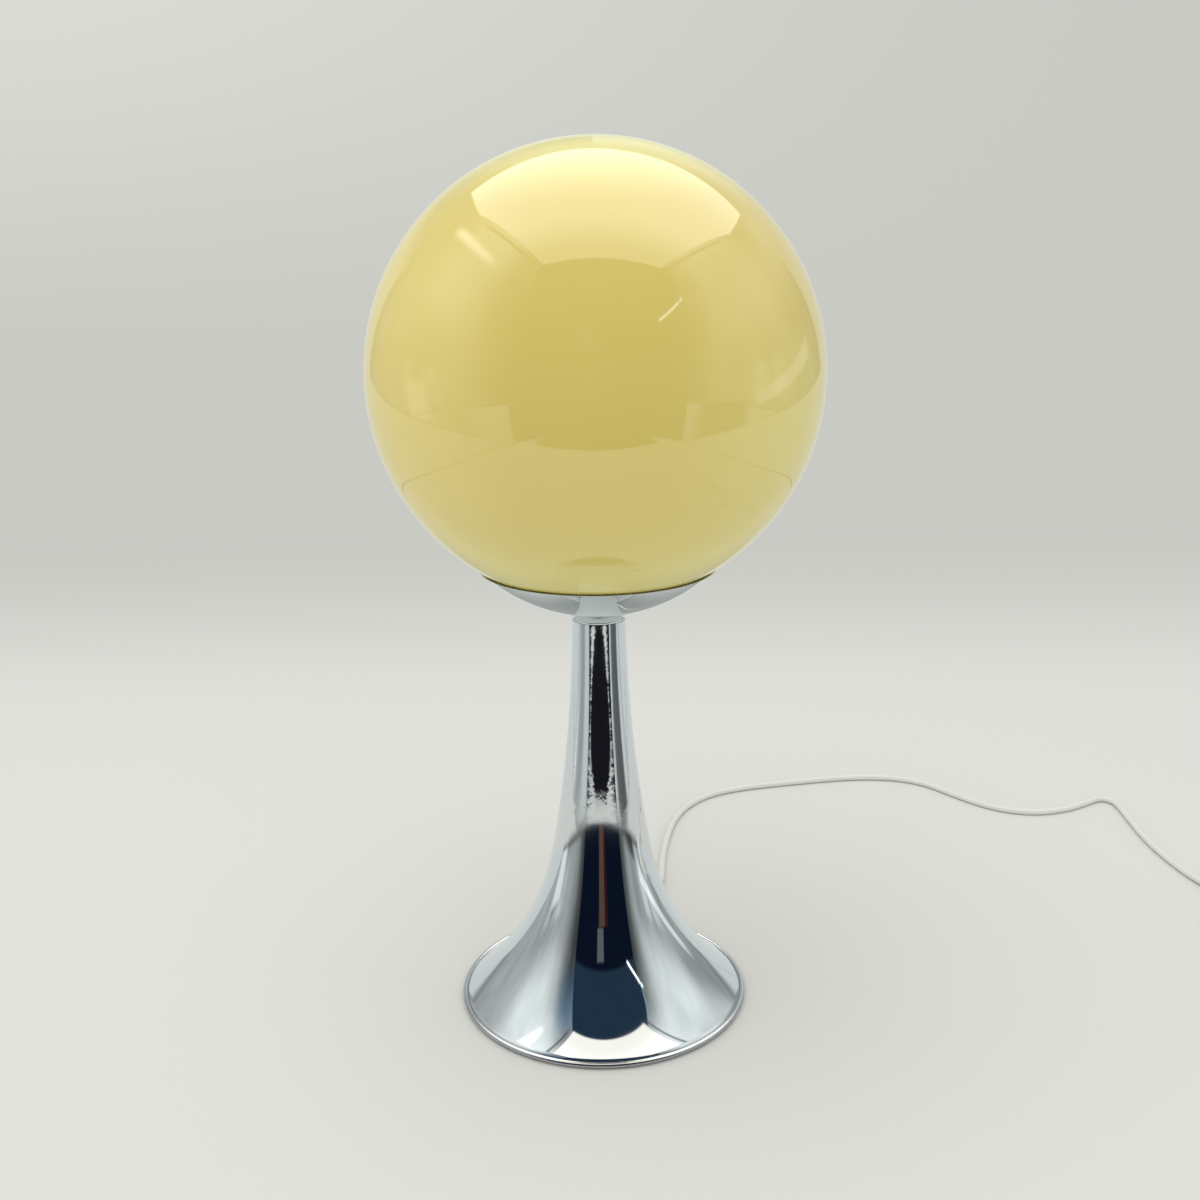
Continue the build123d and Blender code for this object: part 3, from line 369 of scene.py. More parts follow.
class CordSettings(bpy.types.PropertyGroup):
    """The cord and how its spare length is coiled."""

    diameter: bpy.props.FloatProperty(
        name="Diameter", description="Outside of the round cord", default=0.0036, unit="LENGTH")
    coil_radius: bpy.props.FloatProperty(
        name="Coil Radius", description="Radius of the widest turn", default=0.027, unit="LENGTH")
    coil_pitch: bpy.props.FloatProperty(
        name="Coil Pitch", description="Distance between neighbouring turns",
        default=0.00365, unit="LENGTH")
    coil_centre: bpy.props.FloatVectorProperty(
        name="Coil Centre", description="Middle of the coil on the table",
        default=(0.318, -0.060, ON_TABLE), subtype="XYZ", unit="LENGTH")


class StageSettings(bpy.types.PropertyGroup):
    """Camera, floor and light."""

    camera_place: bpy.props.FloatVectorProperty(
        name="Camera Place", description="Where the camera stands",
        default=(0.0007, -0.5833, 0.3542), subtype="XYZ", unit="LENGTH")
    camera_pitch: bpy.props.FloatProperty(
        name="Camera Pitch", description="How far the camera looks down",
        default=math.radians(14.942), subtype="ANGLE")
    camera_roll: bpy.props.FloatProperty(
        name="Camera Roll", description="How far the camera leans",
        default=math.radians(-0.777), subtype="ANGLE")
    focal_length: bpy.props.FloatProperty(
        name="Focal Length", description="Lens, in millimetres, on a 36 mm sensor",
        default=39.585)
    floor_colour: bpy.props.FloatVectorProperty(
        name="Floor Colour", description="Pale table top near the lamp", subtype="COLOR",
        default=linear(222, 223, 219))
    wall_colour: bpy.props.FloatVectorProperty(
        name="Wall Colour", description="Far part of the floor and the background",
        subtype="COLOR", default=linear(201, 202, 196))


# ------------------------------------------------------------------ stage
def band(value, low, high, soft):
    """1 between two values, fading over a soft distance at each."""
    return value.step(low - soft, low + soft) * value.step(high + soft, high - soft)


def edge(value, soft):
    """0 below zero and 1 above it, fading over a soft distance each way."""
    return value.step(-soft, soft)


def along_line(way, rise, start, end, width):
    """1 near a straight bright line between two (way, rise) places, in degrees."""
    run = (end[0] - start[0], end[1] - start[1])
    length = math.hypot(*run)
    right, up = way - start[0], rise - start[1]
    across = (right * (run[1] / length) - up * (run[0] / length)).apply("ABSOLUTE")
    ahead = right * (run[0] / length) + up * (run[1] / length)
    return across.step(width, width * 0.4) * band(ahead, 0.0, length, width)


def compass(f, direction):
    """Degrees from straight in front, plus to the right, and degrees above level."""
    x, y, z = f.parts(direction)
    return x.apply("ARCTAN2", 0.0 - y) * DEGREES, z.apply("ARCSINE") * DEGREES


def above_sheet(away, rise):
    """Degrees above the table's far edge as a mirror low on the lamp sees it."""
    edge_below, bow = 7.15, 0.00055
    return rise + edge_below + away * away * bow


def pale_sides(f, direction, way, rise):
    """Sides of the mirrored room: brightest beside the dark panel and high up."""
    away = way.apply("ABSOLUTE")
    clear = above_sheet(away, rise)
    uneven = f.noise(f.stretched(direction, (1.0, 1.0, 0.5)), 3.4, 4.0, 0.6)
    beside = band(away, 64, 106, 13) * rise.step(4, 34)
    glow = beside * 0.53 + rise.step(38, 60) * 0.34 + uneven.step(0.3, 0.75) * 0.19 + 0.34

    # darkest next to the panel's edge
    by_frame = away.step(64, 44) * (0.84 - rise.step(20, 50) * 0.25) * clear.step(-0.4, 0.2)
    glow = glow * (1.0 - by_frame)

    # streaks near the level line, a bright place high on the right, and the sheet below
    shimmer = band(away, 80, 102, 7) * band(rise, -8, 5, 3) * uneven.step(0.42, 0.6)
    high_right = way.step(85, 115) * band(rise, 18, 36, 8)
    low_streak = band(way, -101, -87, 4) * band(rise, -13, -1, 2)
    slanting = along_line(way, rise, (84, -8), (126, 3), 3.4)
    glow = glow + shimmer * 0.3 + high_right * 0.35 + clear.step(0.2, -0.4) * 0.22
    glow = glow + low_streak * 0.55 + slanting * 0.5

    # darker places low down, and a thin dark line along the sheet's edge
    low_left = band(way, -82, -61, 4) * rise.step(-9.0, -11.5)
    low_right = band(way, 50, 78, 4) * rise.step(-8.0, -9.5)
    edge_line = band(clear, -0.12, 0.3, 0.12) * away.step(42, 56)
    glow = glow * (1.0 - low_left * 0.35) * (1.0 - low_right * 0.78) * (1.0 - edge_line * 0.66)

    # one even tone behind the lamp, with a faint dark line where it begins
    begins = (rise * 4.6 + 159.4).apply("MINIMUM", 141.0 - rise * 0.4)
    behind, low_down = away - begins, rise.step(26, 14)
    glow = glow + edge(behind, 1.5) * low_down * (0.74 - glow)
    glow = glow * (1.0 - band(behind, -2.5, 1.5, 1.2) * low_down * 0.25)

    blue_left = away.step(64, 44) * way.step(5, -5) * band(rise, 30, 52, 7)
    tint = f.mix(blue_left * 0.8, (0.95, 1.0, 0.985), (0.50, 0.92, 1.35))
    return f.node("ShaderNodeVectorMath", {"operation": "SCALE"}, {0: tint, "Scale": glow})


def dark_panel(f, room, way, rise, ahead, upward):
    """Dark panel in front, lighter in its upper part, with fainter upright strips in it."""
    edge_right = rise.step(24, 46) * 8.0 + 43.5
    edge_left = rise.step(10, 50) * 3.0 - 41.5
    in_width = edge(way - edge_left, 0.6) * edge(edge_right - way, 0.6)
    night = f.mix(ahead.step(1.57, 1.43) * upward, (0.0035, 0.007, 0.018), (0.017, 0.038, 0.066))
    for strip, colour in (
        (band(way, -9, 0.5, 0.8) * band(rise, 16.5, 30, 0.8), (0.125, 0.135, 0.135)),
        (band(way, 2.5, 8.5, 1.0) * band(rise, -7.2, 16, 0.8), (0.035, 0.010, 0.012)),
        (band(way, -6.5, 3.5, 0.8) * band(rise, -7.2, 16, 0.8), (0.11, 0.062, 0.050)),
    ):
        night = f.mix(strip, night, colour)
    room = f.mix(in_width, room, night)
    glint = along_line(way, rise, (33.5, 28.5), (50.0, 36.0), 0.9)
    room = f.mix(glint, room, (2.6, 2.8, 2.75))
    frame_line = band(edge_right - way, -0.8, 0.4, 0.6) * band(rise, 33, 50, 2)
    return f.mix(frame_line * 0.8, room, (0.22, 0.52, 0.52))


def bright_overhead(f, room, across, back, upward):
    """Bright panel overhead with dark edges, and a bright strip on its left."""
    lead = (back + 0.57).apply("MINIMUM", 1.0)
    from_left = across + lead * 0.30 + 0.43
    from_right = lead * 0.42 + 0.60 - across
    inside = edge(from_left, 0.01) * edge(from_right, 0.01)
    inside = inside * edge(back + 0.565, 0.01) * back.step(1.12, 1.02) * upward
    trim = band(from_left, -0.075, -0.045, 0.008) + band(from_right, -0.075, -0.045, 0.008)
    trim = trim * band(back, -0.55, 0.2, 0.05) * upward
    panel = f.mix(back.step(-0.50, -0.05), (1.26, 1.22, 1.11), (2.4, 2.36, 2.16))
    room = f.mix(trim * 0.75, room, (0.10, 0.10, 0.11))
    room = f.mix(inside, room, panel)
    tube = band(across + back * 0.14, -0.945, -0.855, 0.045) * band(back, -0.24, 0.5, 0.14)
    return f.mix(tube * upward, room, (2.8, 2.75, 2.55))


def mirrored_room(f, direction):
    """What polished pieces see: pale sides, a dark panel in front and a bright one overhead."""
    x, y, z = f.parts(direction)
    way, rise = compass(f, direction)
    upward = z.step(0.0, 0.05)
    over = z.apply("MAXIMUM", 0.001)
    room = pale_sides(f, direction, way, rise)
    room = dark_panel(f, room, way, rise, (0.0 - y) / over, upward)
    return bright_overhead(f, room, x / over, y / over, upward)


def studio_world(wall):
    """Plain light for surfaces, and a simple room for whatever mirrors it."""
    world = bpy.data.worlds.new("plain_room")
    bpy.context.scene.world = world
    world.use_nodes = True
    f = Finish(world.node_tree)
    direction = f.node("ShaderNodeTexCoord", outlet="Generated")
    x, _, z = f.parts(direction)
    soft = f.mix(z.step(-0.1, 0.9), (0.78, 0.78, 0.765), (0.90, 0.90, 0.88))
    # painted light: the background that the camera sees is lighter towards its upper left corner
    corner, lighter = z.step(-0.10, 0.22) * x.step(0.45, -0.50), 1.24
    seen = f.mix(corner, wall, tuple(c * lighter for c in wall))
    light = f.mix(f.ray("Is Glossy Ray"), soft, mirrored_room(f, direction))
    clear = f.ray("Is Camera Ray").apply("MAXIMUM", f.ray("Is Transmission Ray"))
    light = f.mix(clear, light, seen)
    shader = f.node("ShaderNodeBackground", None, {"Color": light, "Strength": 1.0})
    f.node("ShaderNodeOutputWorld", None, {"Surface": shader})


def table_finish(settings):
    """Pale sheet that fades into the background; mirrors see its rounded front edge, and painted
    shade and reflections that only they see.
    """
    material, f = new_finish("pale_sheet")
    x, y, _ = f.parts(f.place())
    wall, near = tuple(settings.wall_colour), tuple(settings.floor_colour)
    side, ahead = x.apply("ABSOLUTE"), 0.0 - y
    mirrored = f.ray("Is Glossy Ray")
    incoming = f.node("ShaderNodeNewGeometry", outlet="Incoming")
    way, rise = compass(f, f.stretched(incoming, (-1.0, -1.0, -1.0)))
    away = way.apply("ABSOLUTE")

    # the sheet ends in a rounded edge, beyond which mirrors see the room
    half_width, half_depth, corner = 0.53, 0.815, 2.6
    oval = (side / half_width) ** corner + (y.apply("ABSOLUTE") / half_depth) ** corner
    beyond = edge(oval - 1.0, 0.005) * y.step(0.30, 0.20)
    beyond = beyond.apply("MAXIMUM", edge(above_sheet(away, rise), 0.15))
    # painted shade: a dark band near the sheet's edge, seen only in mirrors, for its shaded
    # rounded edge
    rim = band(oval, 0.95, 0.985, 0.012) * side.step(0.30, 0.36) * 0.7

    # painted shade: a near-black shape painted on the sheet in front, which only mirrors see, as
    # the foot and the stem mirror it
    bow_width, bow_rise, bow_bend = 34.0, -11.3, 1.84
    bow = bow_width - (rise - bow_rise) * (rise - bow_rise) * bow_bend - away
    shadow = band(ahead, 0.60, 0.805, 0.004) * side.step(0.36, 0.30) * rise.step(-15, -17)
    shadow = shadow.apply("MAXIMUM", edge(bow, 0.8) * rise.step(-7.9, -8.2))

    # painted shade and reflection: darker grey and bluish tones, painted on the sheet for mirrors
    # only, that the dish's underside sees behind the lamp
    painted_shade_below = mirrored * rise.step(-24, -30)
    # painted shade: the sheet is a little darker towards the back
    tone = f.mix(y.step(0.36, 0.84), near, tuple(c * 0.93 for c in near))
    for share, colour in (
        (painted_shade_below * away.step(140, 170) * 0.72, (0.24, 0.27, 0.27)),
        (painted_shade_below * band(away, 100, 132, 9) * 0.12, (0.28, 0.34, 0.42)),
        (mirrored * rim, (0.08, 0.08, 0.09)),
        (mirrored * shadow, (0.010, 0.010, 0.014)),
    ):
        tone = f.mix(share, tone, colour)
    sheet = f.node(
        "ShaderNodeBsdfPrincipled", None,
        {"Base Color": tone, "Roughness": 0.9, "Specular IOR Level": 0.0},
    )
    clear = f.node("ShaderNodeBsdfTransparent")
    sheet = f.node("ShaderNodeMixShader", None, {0: mirrored * beyond, 1: sheet, 2: clear})

    # the far part takes the background's colour
    haze = f.node("ShaderNodeEmission", None, {"Color": wall, "Strength": 1.0})
    distance = (x * x + y * y).apply("SQRT")
    far = f.ray("Is Camera Ray") * y.step(0.45, 1.05).apply("MAXIMUM", distance.step(0.75, 1.6))
    sheet = f.node("ShaderNodeMixShader", None, {0: far, 1: sheet, 2: haze})
    f.node("ShaderNodeOutputMaterial", None, {"Surface": sheet})
    return material


def soft_lamp(name, place, target, size, energy):
    """A large square lamp that mirrors don't see."""
    bpy.ops.object.light_add(type="AREA", location=place)
    lamp = bpy.context.object
    lamp.name = name
    lamp.data.size = size
    lamp.data.energy = energy
    lamp.rotation_euler = (Vector(target) - Vector(place)).to_track_quat("-Z", "Y").to_euler()
    lamp.visible_glossy = False


class LAMP_OT_stage(bpy.types.Operator):
    """Pale table, background, soft light and the camera"""

    bl_idname = "lamp.stage"
    bl_label = "Stage"

    def execute(self, context):
        settings = context.scene.lamp_stage
        deselect()
        bpy.ops.mesh.primitive_grid_add(x_subdivisions=24, y_subdivisions=24, size=12)
        floor = context.object
        floor.name = "table_top"
        floor.data.materials.append(table_finish(settings))
        studio_world(tuple(settings.wall_colour))
        target = (0, 0, 0.25)
        soft_lamp("overhead", (-0.25, -0.15, 1.5), target, size=1.1, energy=4.5)
        soft_lamp("from_front", (0.5, -1.3, 0.9), target, size=0.9, energy=1.0)
        bpy.ops.object.camera_add(location=settings.camera_place)
        camera = context.object
        camera.data.lens = settings.focal_length
        camera.data.sensor_width = 36.0
        turn = Matrix.Rotation(math.pi / 2 - settings.camera_pitch, 4, "X")
        turn = turn @ Matrix.Rotation(settings.camera_roll, 4, "Z")
        camera.matrix_world = Matrix.Translation(settings.camera_place) @ turn
        context.scene.camera = camera
        context.scene.view_settings.view_transform = "Standard"
        return {"FINISHED"}


# ------------------------------------------------------------------ stand, neck and dish
def flare(settings, inset):
    """Outline of the stand from stem top to foot, inset from the outer skin.

    The spun sheet eases from the long arc into the short one, so mirrored lines have no kink.
    """
    low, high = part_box("trumpet_shell")
    stem, curve = settings.stem_curve, settings.foot_curve
    lean = math.asin((settings.waist_height - settings.join_height) / stem)
    top = math.asin((settings.waist_height - high.z) / stem)
    foot_height = settings.join_height + curve * math.sin(lean)
    last = math.asin((foot_height - low.z - settings.lip) / curve)
    upper, total = stem * (lean - top), stem * (lean - top) + curve * (last - lean)
    start = (settings.waist_radius + stem * (1 - math.cos(top)), high.z)
    foot_centre = settings.waist_radius + stem - (stem - curve) * math.cos(lean)
    end = (foot_centre - curve * math.cos(last), low.z + settings.lip)
    steps, angle, place = 150, top, start
    points = [(*start, top)]
    stride = total / steps
    for i in range(steps):
        past_join = stride * (i + 0.5) - upper
        blend = min(max(0.5 + past_join / (2 * settings.easing), 0), 1)
        bend = (blend / curve + (1 - blend) / stem) * stride
        angle += bend / 2
        place = (place[0] + math.sin(angle) * stride, place[1] - math.cos(angle) * stride)
        angle += bend / 2
        points.append((*place, angle))
    drift = ((end[0] - place[0]) / steps, (end[1] - place[1]) / steps)
    return [(r + drift[0] * i - inset * math.cos(a), z + drift[1] * i - inset * math.sin(a))
            for i, (r, z, a) in enumerate(points)]


class LAMP_OT_stand(bpy.types.Operator):
    """Trumpet-shaped stand, neck and dish in plated steel"""

    bl_idname = "lamp.stand"
    bl_label = "Stand"

    def execute(self, context):
        settings = context.scene.lamp_stand
        chrome = mirror_chrome()
        low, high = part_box("trumpet_shell")
        curl, bead_start, groove = settings.lip / 2, math.radians(150), 0.0002
        outer, inner = flare(settings, 0.0), flare(settings, settings.wall)
        inner.append((inner[-1][0] + groove, low.z))
        rim = arc((high.x - curl, low.z + curl), curl, bead_start, -math.pi / 2, 24)
        shell = turned("stand_shell", outer + rim + inner[::-1], 256)
        self.cut_cord_arch(shell)
        finish_piece(shell, chrome, "stand", "trumpet_shell")
        finish_piece(self.neck(settings, high.z), chrome, "stand", "neck_collar")
        finish_piece(self.dish(settings), chrome, "stand", "globe_dish")
        return {"FINISHED"}

    def neck(self, settings, stem_top):
        """Short turned neck: a spigot in the stem, a rounded shoulder and a cone to the dish."""
        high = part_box("neck_collar")[1]
        top, spigot, foot = settings.neck_top, high.x - 0.0013, stem_top - 0.006
        rounding = 0.0006
        cone = [(TUBE_HOLE, foot), (spigot, foot), (spigot, stem_top),
                (high.x - 0.0002, stem_top + 0.0001)]
        middle = (high.x - 0.0001 - rounding, stem_top + rounding)
        cone += arc(middle, rounding, 0, math.radians(40), 4)
        cone += [(top + 0.0004, high.z - 0.0004), (top, high.z), (TUBE_HOLE, high.z)]
        return turned("neck_turning", cone, 128)

    def dish(self, settings):
        """Spun dish: part of a sphere with a hole in its middle and a level edge."""
        low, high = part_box("globe_dish")
        curve, thin = settings.dish_curve, settings.dish_curve - settings.dish_wall
        above_edge = math.sqrt(curve**2 - high.x**2)
        centre = (0.0, high.z + above_edge)
        seat = math.acos(settings.neck_top / curve)
        inner_edge = math.acos(math.sqrt(thin**2 - above_edge**2) / thin)
        bowl = arc(centre, curve, -seat, -math.acos(high.x / curve), 40)
        hollow = arc(centre, thin, -inner_edge, -seat, 40)
        hole = [(TUBE_HOLE, low.z + settings.dish_wall)]
        return turned("dish_bowl", [(TUBE_HOLE, low.z)] + bowl + hollow + hole, 256)

    def cut_cord_arch(self, shell):
        """Arched way through the shell's edge for the cord's strain relief."""
        way = Vector((math.cos(CORD_WAY), math.sin(CORD_WAY), 0))
        half_width, length, out, below = 0.0036, 0.06, 0.075, 0.002
        deselect()
        bpy.ops.mesh.primitive_cylinder_add(vertices=48, radius=half_width, depth=length,
                                            location=(0, 0, 0))
        cutter = bpy.context.object
        for vertex in cutter.data.vertices:
            if vertex.co.y < -JOINED:
                vertex.co.y = -GLAND_HEIGHT - below
        turn = way.to_track_quat("Z", "Y").to_matrix().to_4x4()
        cutter.data.transform(Matrix.Translation(way * out + UP * GLAND_HEIGHT) @ turn)
        bpy.context.view_layer.objects.active = shell
        cut = shell.modifiers.new("cord arch", "BOOLEAN")
        cut.operation = "DIFFERENCE"
        cut.object = cutter
        cut.solver = "EXACT"
        bpy.ops.object.modifier_apply(modifier=cut.name)
        bpy.data.objects.remove(cutter)


# ------------------------------------------------------------------ globe
class LAMP_OT_globe(bpy.types.Operator):
    """Opal glass globe with a rounded mouth"""

    bl_idname = "lamp.globe"
    bl_label = "Globe"

    def execute(self, context):
        mouth, rounding, steps = 0.040, 0.00117, 110
        centre, thin = (0.0, GLOBE_CENTRE), GLOBE_RADIUS - GLASS_WALL
        outer_end = -math.acos((mouth + rounding) / GLOBE_RADIUS)
        inner_end = -math.acos((mouth + rounding) / thin)
        outer = arc(centre, GLOBE_RADIUS, math.pi / 2, outer_end, steps)
        inner = arc(centre, thin, inner_end, math.pi / 2, steps)
        below, above = outer[-1][1], inner[0][1]
        throat = [(mouth + 0.0003, below - 0.0001), (mouth, below + 0.0006),
                  (mouth, above - 0.0008), (mouth + 0.0004, above - 0.0001)]
        globe = turned("glass_ball", outer + throat + inner, 256, close=False)
        finish_piece(globe, opal_glass(), "globe", "glass_globe")
        return {"FINISHED"}


# ------------------------------------------------------------------ cord
LEAD = [  # from the gland to the switch, in metres
    (0.027595, 0.084929, GLAND_HEIGHT), (0.030995, 0.095391, GLAND_HEIGHT),
    (0.0336, 0.109, 0.0025), (0.0348, 0.125, ON_TABLE), (0.0366, 0.145, ON_TABLE),
    (0.0405, 0.169, ON_TABLE), (0.046, 0.193, ON_TABLE), (0.056, 0.215, ON_TABLE),
    (0.073, 0.233, ON_TABLE), (0.099, 0.2435, ON_TABLE), (0.134, 0.251, ON_TABLE),
    (0.167, 0.2573, ON_TABLE), (0.196, 0.2566, ON_TABLE), (0.218, 0.2465, ON_TABLE),
    (0.234, 0.224, ON_TABLE), (0.252, 0.2035, ON_TABLE), (0.275, 0.1945, ON_TABLE),
    (0.299, 0.200, ON_TABLE), (0.316, 0.2105, ON_TABLE), (0.3255, 0.2168, ON_TABLE),
    (0.3328, 0.2125, ON_TABLE), (0.3336, 0.201, ON_TABLE), (0.3324, 0.182, ON_TABLE),
    (0.331, 0.156, ON_TABLE), (0.3328, 0.130, ON_TABLE), (0.3362, 0.110, ON_TABLE),
    (0.3408, 0.093, 0.0023), (0.345, 0.072, IN_SWITCH), (0.345, 0.059, IN_SWITCH),
]
LINK = [  # from the switch to the coil
    (0.345, -0.003, IN_SWITCH), (0.345, -0.012, IN_SWITCH), (0.345, -0.028, ON_TABLE),
    (0.345, -0.038, ON_TABLE),
]
TAIL = [  # from the coil to the plug
    (0.345, -0.082, 0.0055), (0.345, -0.091, 0.0055), (0.345, -0.104, IN_PLUG),
    (0.345, -0.114, IN_PLUG),
]
TURNS_IN, TURNS_OUT, POINTS_PER_TURN = 3, 3, 16


def coil_points(settings):
    """Turns on the table winding inwards, one that climbs, and a second layer winding out."""
    points = []
    centre, pitch = settings.coil_centre, settings.coil_pitch
    widen = 1 / math.cos(math.pi / POINTS_PER_TURN)
    total = TURNS_IN + 1 + TURNS_OUT
    for i in range(total * POINTS_PER_TURN + 1):
        turn = i / POINTS_PER_TURN
        steps_in = min(turn, TURNS_IN) - max(0.0, turn - TURNS_IN - 1)
        climb = min(max(turn - TURNS_IN, 0.0), 1.0)
        climb = climb * climb * (3 - 2 * climb)
        radius = (settings.coil_radius - pitch * steps_in) * widen
        angle = -ALL_ROUND * turn
        points.append((centre[0] + radius * math.cos(angle), centre[1] + radius * math.sin(angle),
                       centre[2] + pitch * climb))
    return points


def cord_curve(name, points, diameter, material, body, nodes):
    """A round cord on one smooth line through its route."""
    deselect()
    curve = bpy.data.curves.new(name, "CURVE")
    curve.dimensions = "3D"
    curve.resolution_u = 10
    curve.bevel_depth = diameter / 2
    curve.bevel_resolution = 5
    curve.use_fill_caps = True
    line = curve.splines.new("NURBS")
    line.points.add(len(points) - 1)
    for point, place in zip(line.points, points):
        point.co = (*place, 1.0)
    line.order_u = 3
    line.use_endpoint_u = True
    piece = bpy.data.objects.new(name, curve)
    bpy.context.collection.objects.link(piece)
    curve.materials.append(material)
    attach(piece, body)
    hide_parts(*nodes)
    return piece


class LAMP_OT_cord(bpy.types.Operator):
    """White cord on the table, with its spare length coiled"""

    bl_idname = "lamp.cord"
    bl_label = "Cord"

    def execute(self, context):
        settings = context.scene.lamp_cord
        white = plain("cord_pvc", linear(226, 225, 220), 0.42, grain=900.0, depth=0.00001,
                      spread=0.03)
        lead = cord_curve("cord_to_switch", LEAD, settings.diameter, white, "stand",
                          ["cord_lead"])
        rest = LINK + coil_points(settings) + TAIL
        tail = cord_curve("cord_to_plug", rest, settings.diameter, white, "stand",
                          ["cord_link", "cord_coil", "cord_tail"])
        return {"FINISHED"}


# ------------------------------------------------------------------ fittings
def moulded_white():
    """White moulding of the switch, plug and strain relief."""
    return plain("moulded_white", linear(232, 231, 226), 0.32, grain=500.0, coat=0.3, spread=0.03)


def zinc_plate():
    """Zinc-plated steel of tubes, nuts and screws."""
    return plain("zinc_plate", (0.62, 0.61, 0.56), 0.35, 1.0)


class LAMP_OT_cord_tie(bpy.types.Operator):
    """Flat tie with a buckle that holds the coil of spare cord"""

    bl_idname = "lamp.cord_tie"
    bl_label = "Cord Tie"

    def execute(self, context):
        settings = context.scene.lamp_cord
        centre, half_cord = Vector(settings.coil_centre), settings.diameter / 2
        gap, thick, width, off_table, rounding = 0.0005, 0.0005, 0.005, 0.00001, 0.0022
        inside = settings.coil_radius - settings.coil_pitch * TURNS_IN - half_cord - gap
        outside = settings.coil_radius + half_cord + gap
        top = centre.z + settings.coil_pitch + half_cord + gap
        middle = (outside + inside) / 2
        tie = self.block((outside - inside, width, top - 2 * off_table),
                         (centre.x - middle, centre.y, top / 2 + off_table))
        tie.name = "cord_tie"
        bpy.ops.object.mode_set(mode="EDIT")
        bpy.ops.mesh.select_all(action="DESELECT")
        bpy.ops.object.mode_set(mode="OBJECT")
        for face in tie.data.polygons:
            face.select = abs(face.normal.y) > 0.5
        bpy.ops.object.mode_set(mode="EDIT")
        bpy.ops.mesh.delete(type="FACE")
        bpy.ops.mesh.select_all(action="SELECT")
        bpy.ops.mesh.bevel(offset=rounding, segments=8, affect="EDGES")
        bpy.ops.object.mode_set(mode="OBJECT")
        self.apply(tie, "SOLIDIFY", thickness=thick, offset=-1.0)
        sunk, past_buckle, lower = 0.0004, 0.0066, 0.0008
        buckle, loose_end = (0.0062, 0.0066, 0.0026), (0.0080, 0.0042, 0.0006)
        for size, reach, height in (
            (buckle, middle, top),
            (loose_end, middle + past_buckle, top - lower),
        ):
            block = self.block(size, (centre.x - reach, centre.y, height + size[2] / 2 - sunk))
            self.apply(block, "BEVEL", width=size[2] * 0.2, segments=3)
            tie.select_set(True)
            context.view_layer.objects.active = tie
            bpy.ops.object.join()
        bpy.ops.object.shade_smooth_by_angle(angle=FLAT_EDGE)
        finish_piece(tie, plain("tie_nylon", linear(214, 214, 208), 0.4, spread=0.03), "stand")
        return {"FINISHED"}

    def block(self, size, place):
        """A plain box with its size and place in the mesh itself."""
        deselect()
        bpy.ops.mesh.primitive_cube_add(size=1)
        block = bpy.context.object
        block.scale = size
        block.location = place
        bpy.ops.object.transform_apply(location=True, scale=True)
        return block

    def apply(self, piece, kind, **settings):
        """Add a modifier to the active piece, set it up and apply it."""
        bpy.ops.object.modifier_add(type=kind)
        modifier = piece.modifiers[-1]
        for key, value in settings.items():
            setattr(modifier, key, value)
        bpy.ops.object.modifier_apply(modifier=modifier.name)


class LAMP_OT_switch(bpy.types.Operator):
    """Finishes of the switch on the cord"""

    bl_idname = "lamp.switch"
    bl_label = "Switch"

    def execute(self, context):
        give(moulded_white(), "switch_base", "switch_cover", "switch_rocker")
        give(zinc_plate(), "switch_screws", "switch_cord_clamps")
        give(plain("contact_brass", (0.80, 0.60, 0.28), 0.25, 1.0), "switch_contacts")
        return {"FINISHED"}


class LAMP_OT_plug(bpy.types.Operator):
    """Finishes of the plug"""

    bl_idname = "lamp.plug"
    bl_label = "Plug"

    def execute(self, context):
        give(moulded_white(), "plug_body")
        give(plain("pin_nickel", (0.72, 0.69, 0.63), 0.2, 1.0), "plug_pins")
        return {"FINISHED"}


class LAMP_OT_foot(bpy.types.Operator):
    """Finishes of the ballast, felt pad, tube and strain relief"""

    bl_idname = "lamp.foot"
    bl_label = "Foot"

    def execute(self, context):
        iron = plain("cast_iron", (0.05, 0.05, 0.055), 0.75, 0.3, grain=900.0, depth=0.0002)
        give(iron, "base_weight")
        felt = plain("dark_felt", (0.028, 0.028, 0.03), 0.95, grain=2500.0, depth=0.0003)
        give(felt, "foot_pad")
        give(zinc_plate(), "threaded_tube", "base_washer", "base_nut", "dish_washer")
        give(zinc_plate(), "cord_clamp", "clamp_screws")
        give(moulded_white(), "cord_gland", "inner_lead")
        return {"FINISHED"}


class LAMP_OT_springs(bpy.types.Operator):
    """Finishes of the spring plate, the globe's springs and the soft ring under it"""

    bl_idname = "lamp.springs"
    bl_label = "Springs"

    def execute(self, context):
        give(zinc_plate(), "spring_plate", "spring_rivets")
        give(plain("spring_strip", (0.56, 0.57, 0.58), 0.25, 1.0), "globe_springs")
        give(plain("clear_silicone", linear(206, 200, 172), 0.4), "dish_seat_ring")
        return {"FINISHED"}


class LAMP_OT_holder(bpy.types.Operator):
    """Finishes of the lampholder"""

    bl_idname = "lamp.holder"
    bl_label = "Lampholder"

    def execute(self, context):
        black = plain("moulded_black", (0.018, 0.018, 0.02), 0.35, coat=0.2)
        give(black, "holder_cap", "holder_sleeve")
        ceramic = plain("glazed_ceramic", linear(236, 232, 220), 0.2, coat=0.6, spread=0.03)
        give(ceramic, "holder_insulator")
        brass = plain("bright_brass", (0.80, 0.60, 0.28), 0.25, 1.0)
        give(brass, "dish_nut", "holder_screw_shell", "centre_contact", "terminal_blocks")
        give(zinc_plate(), "terminal_screws")
        give(moulded_white(), "holder_wires")
        return {"FINISHED"}


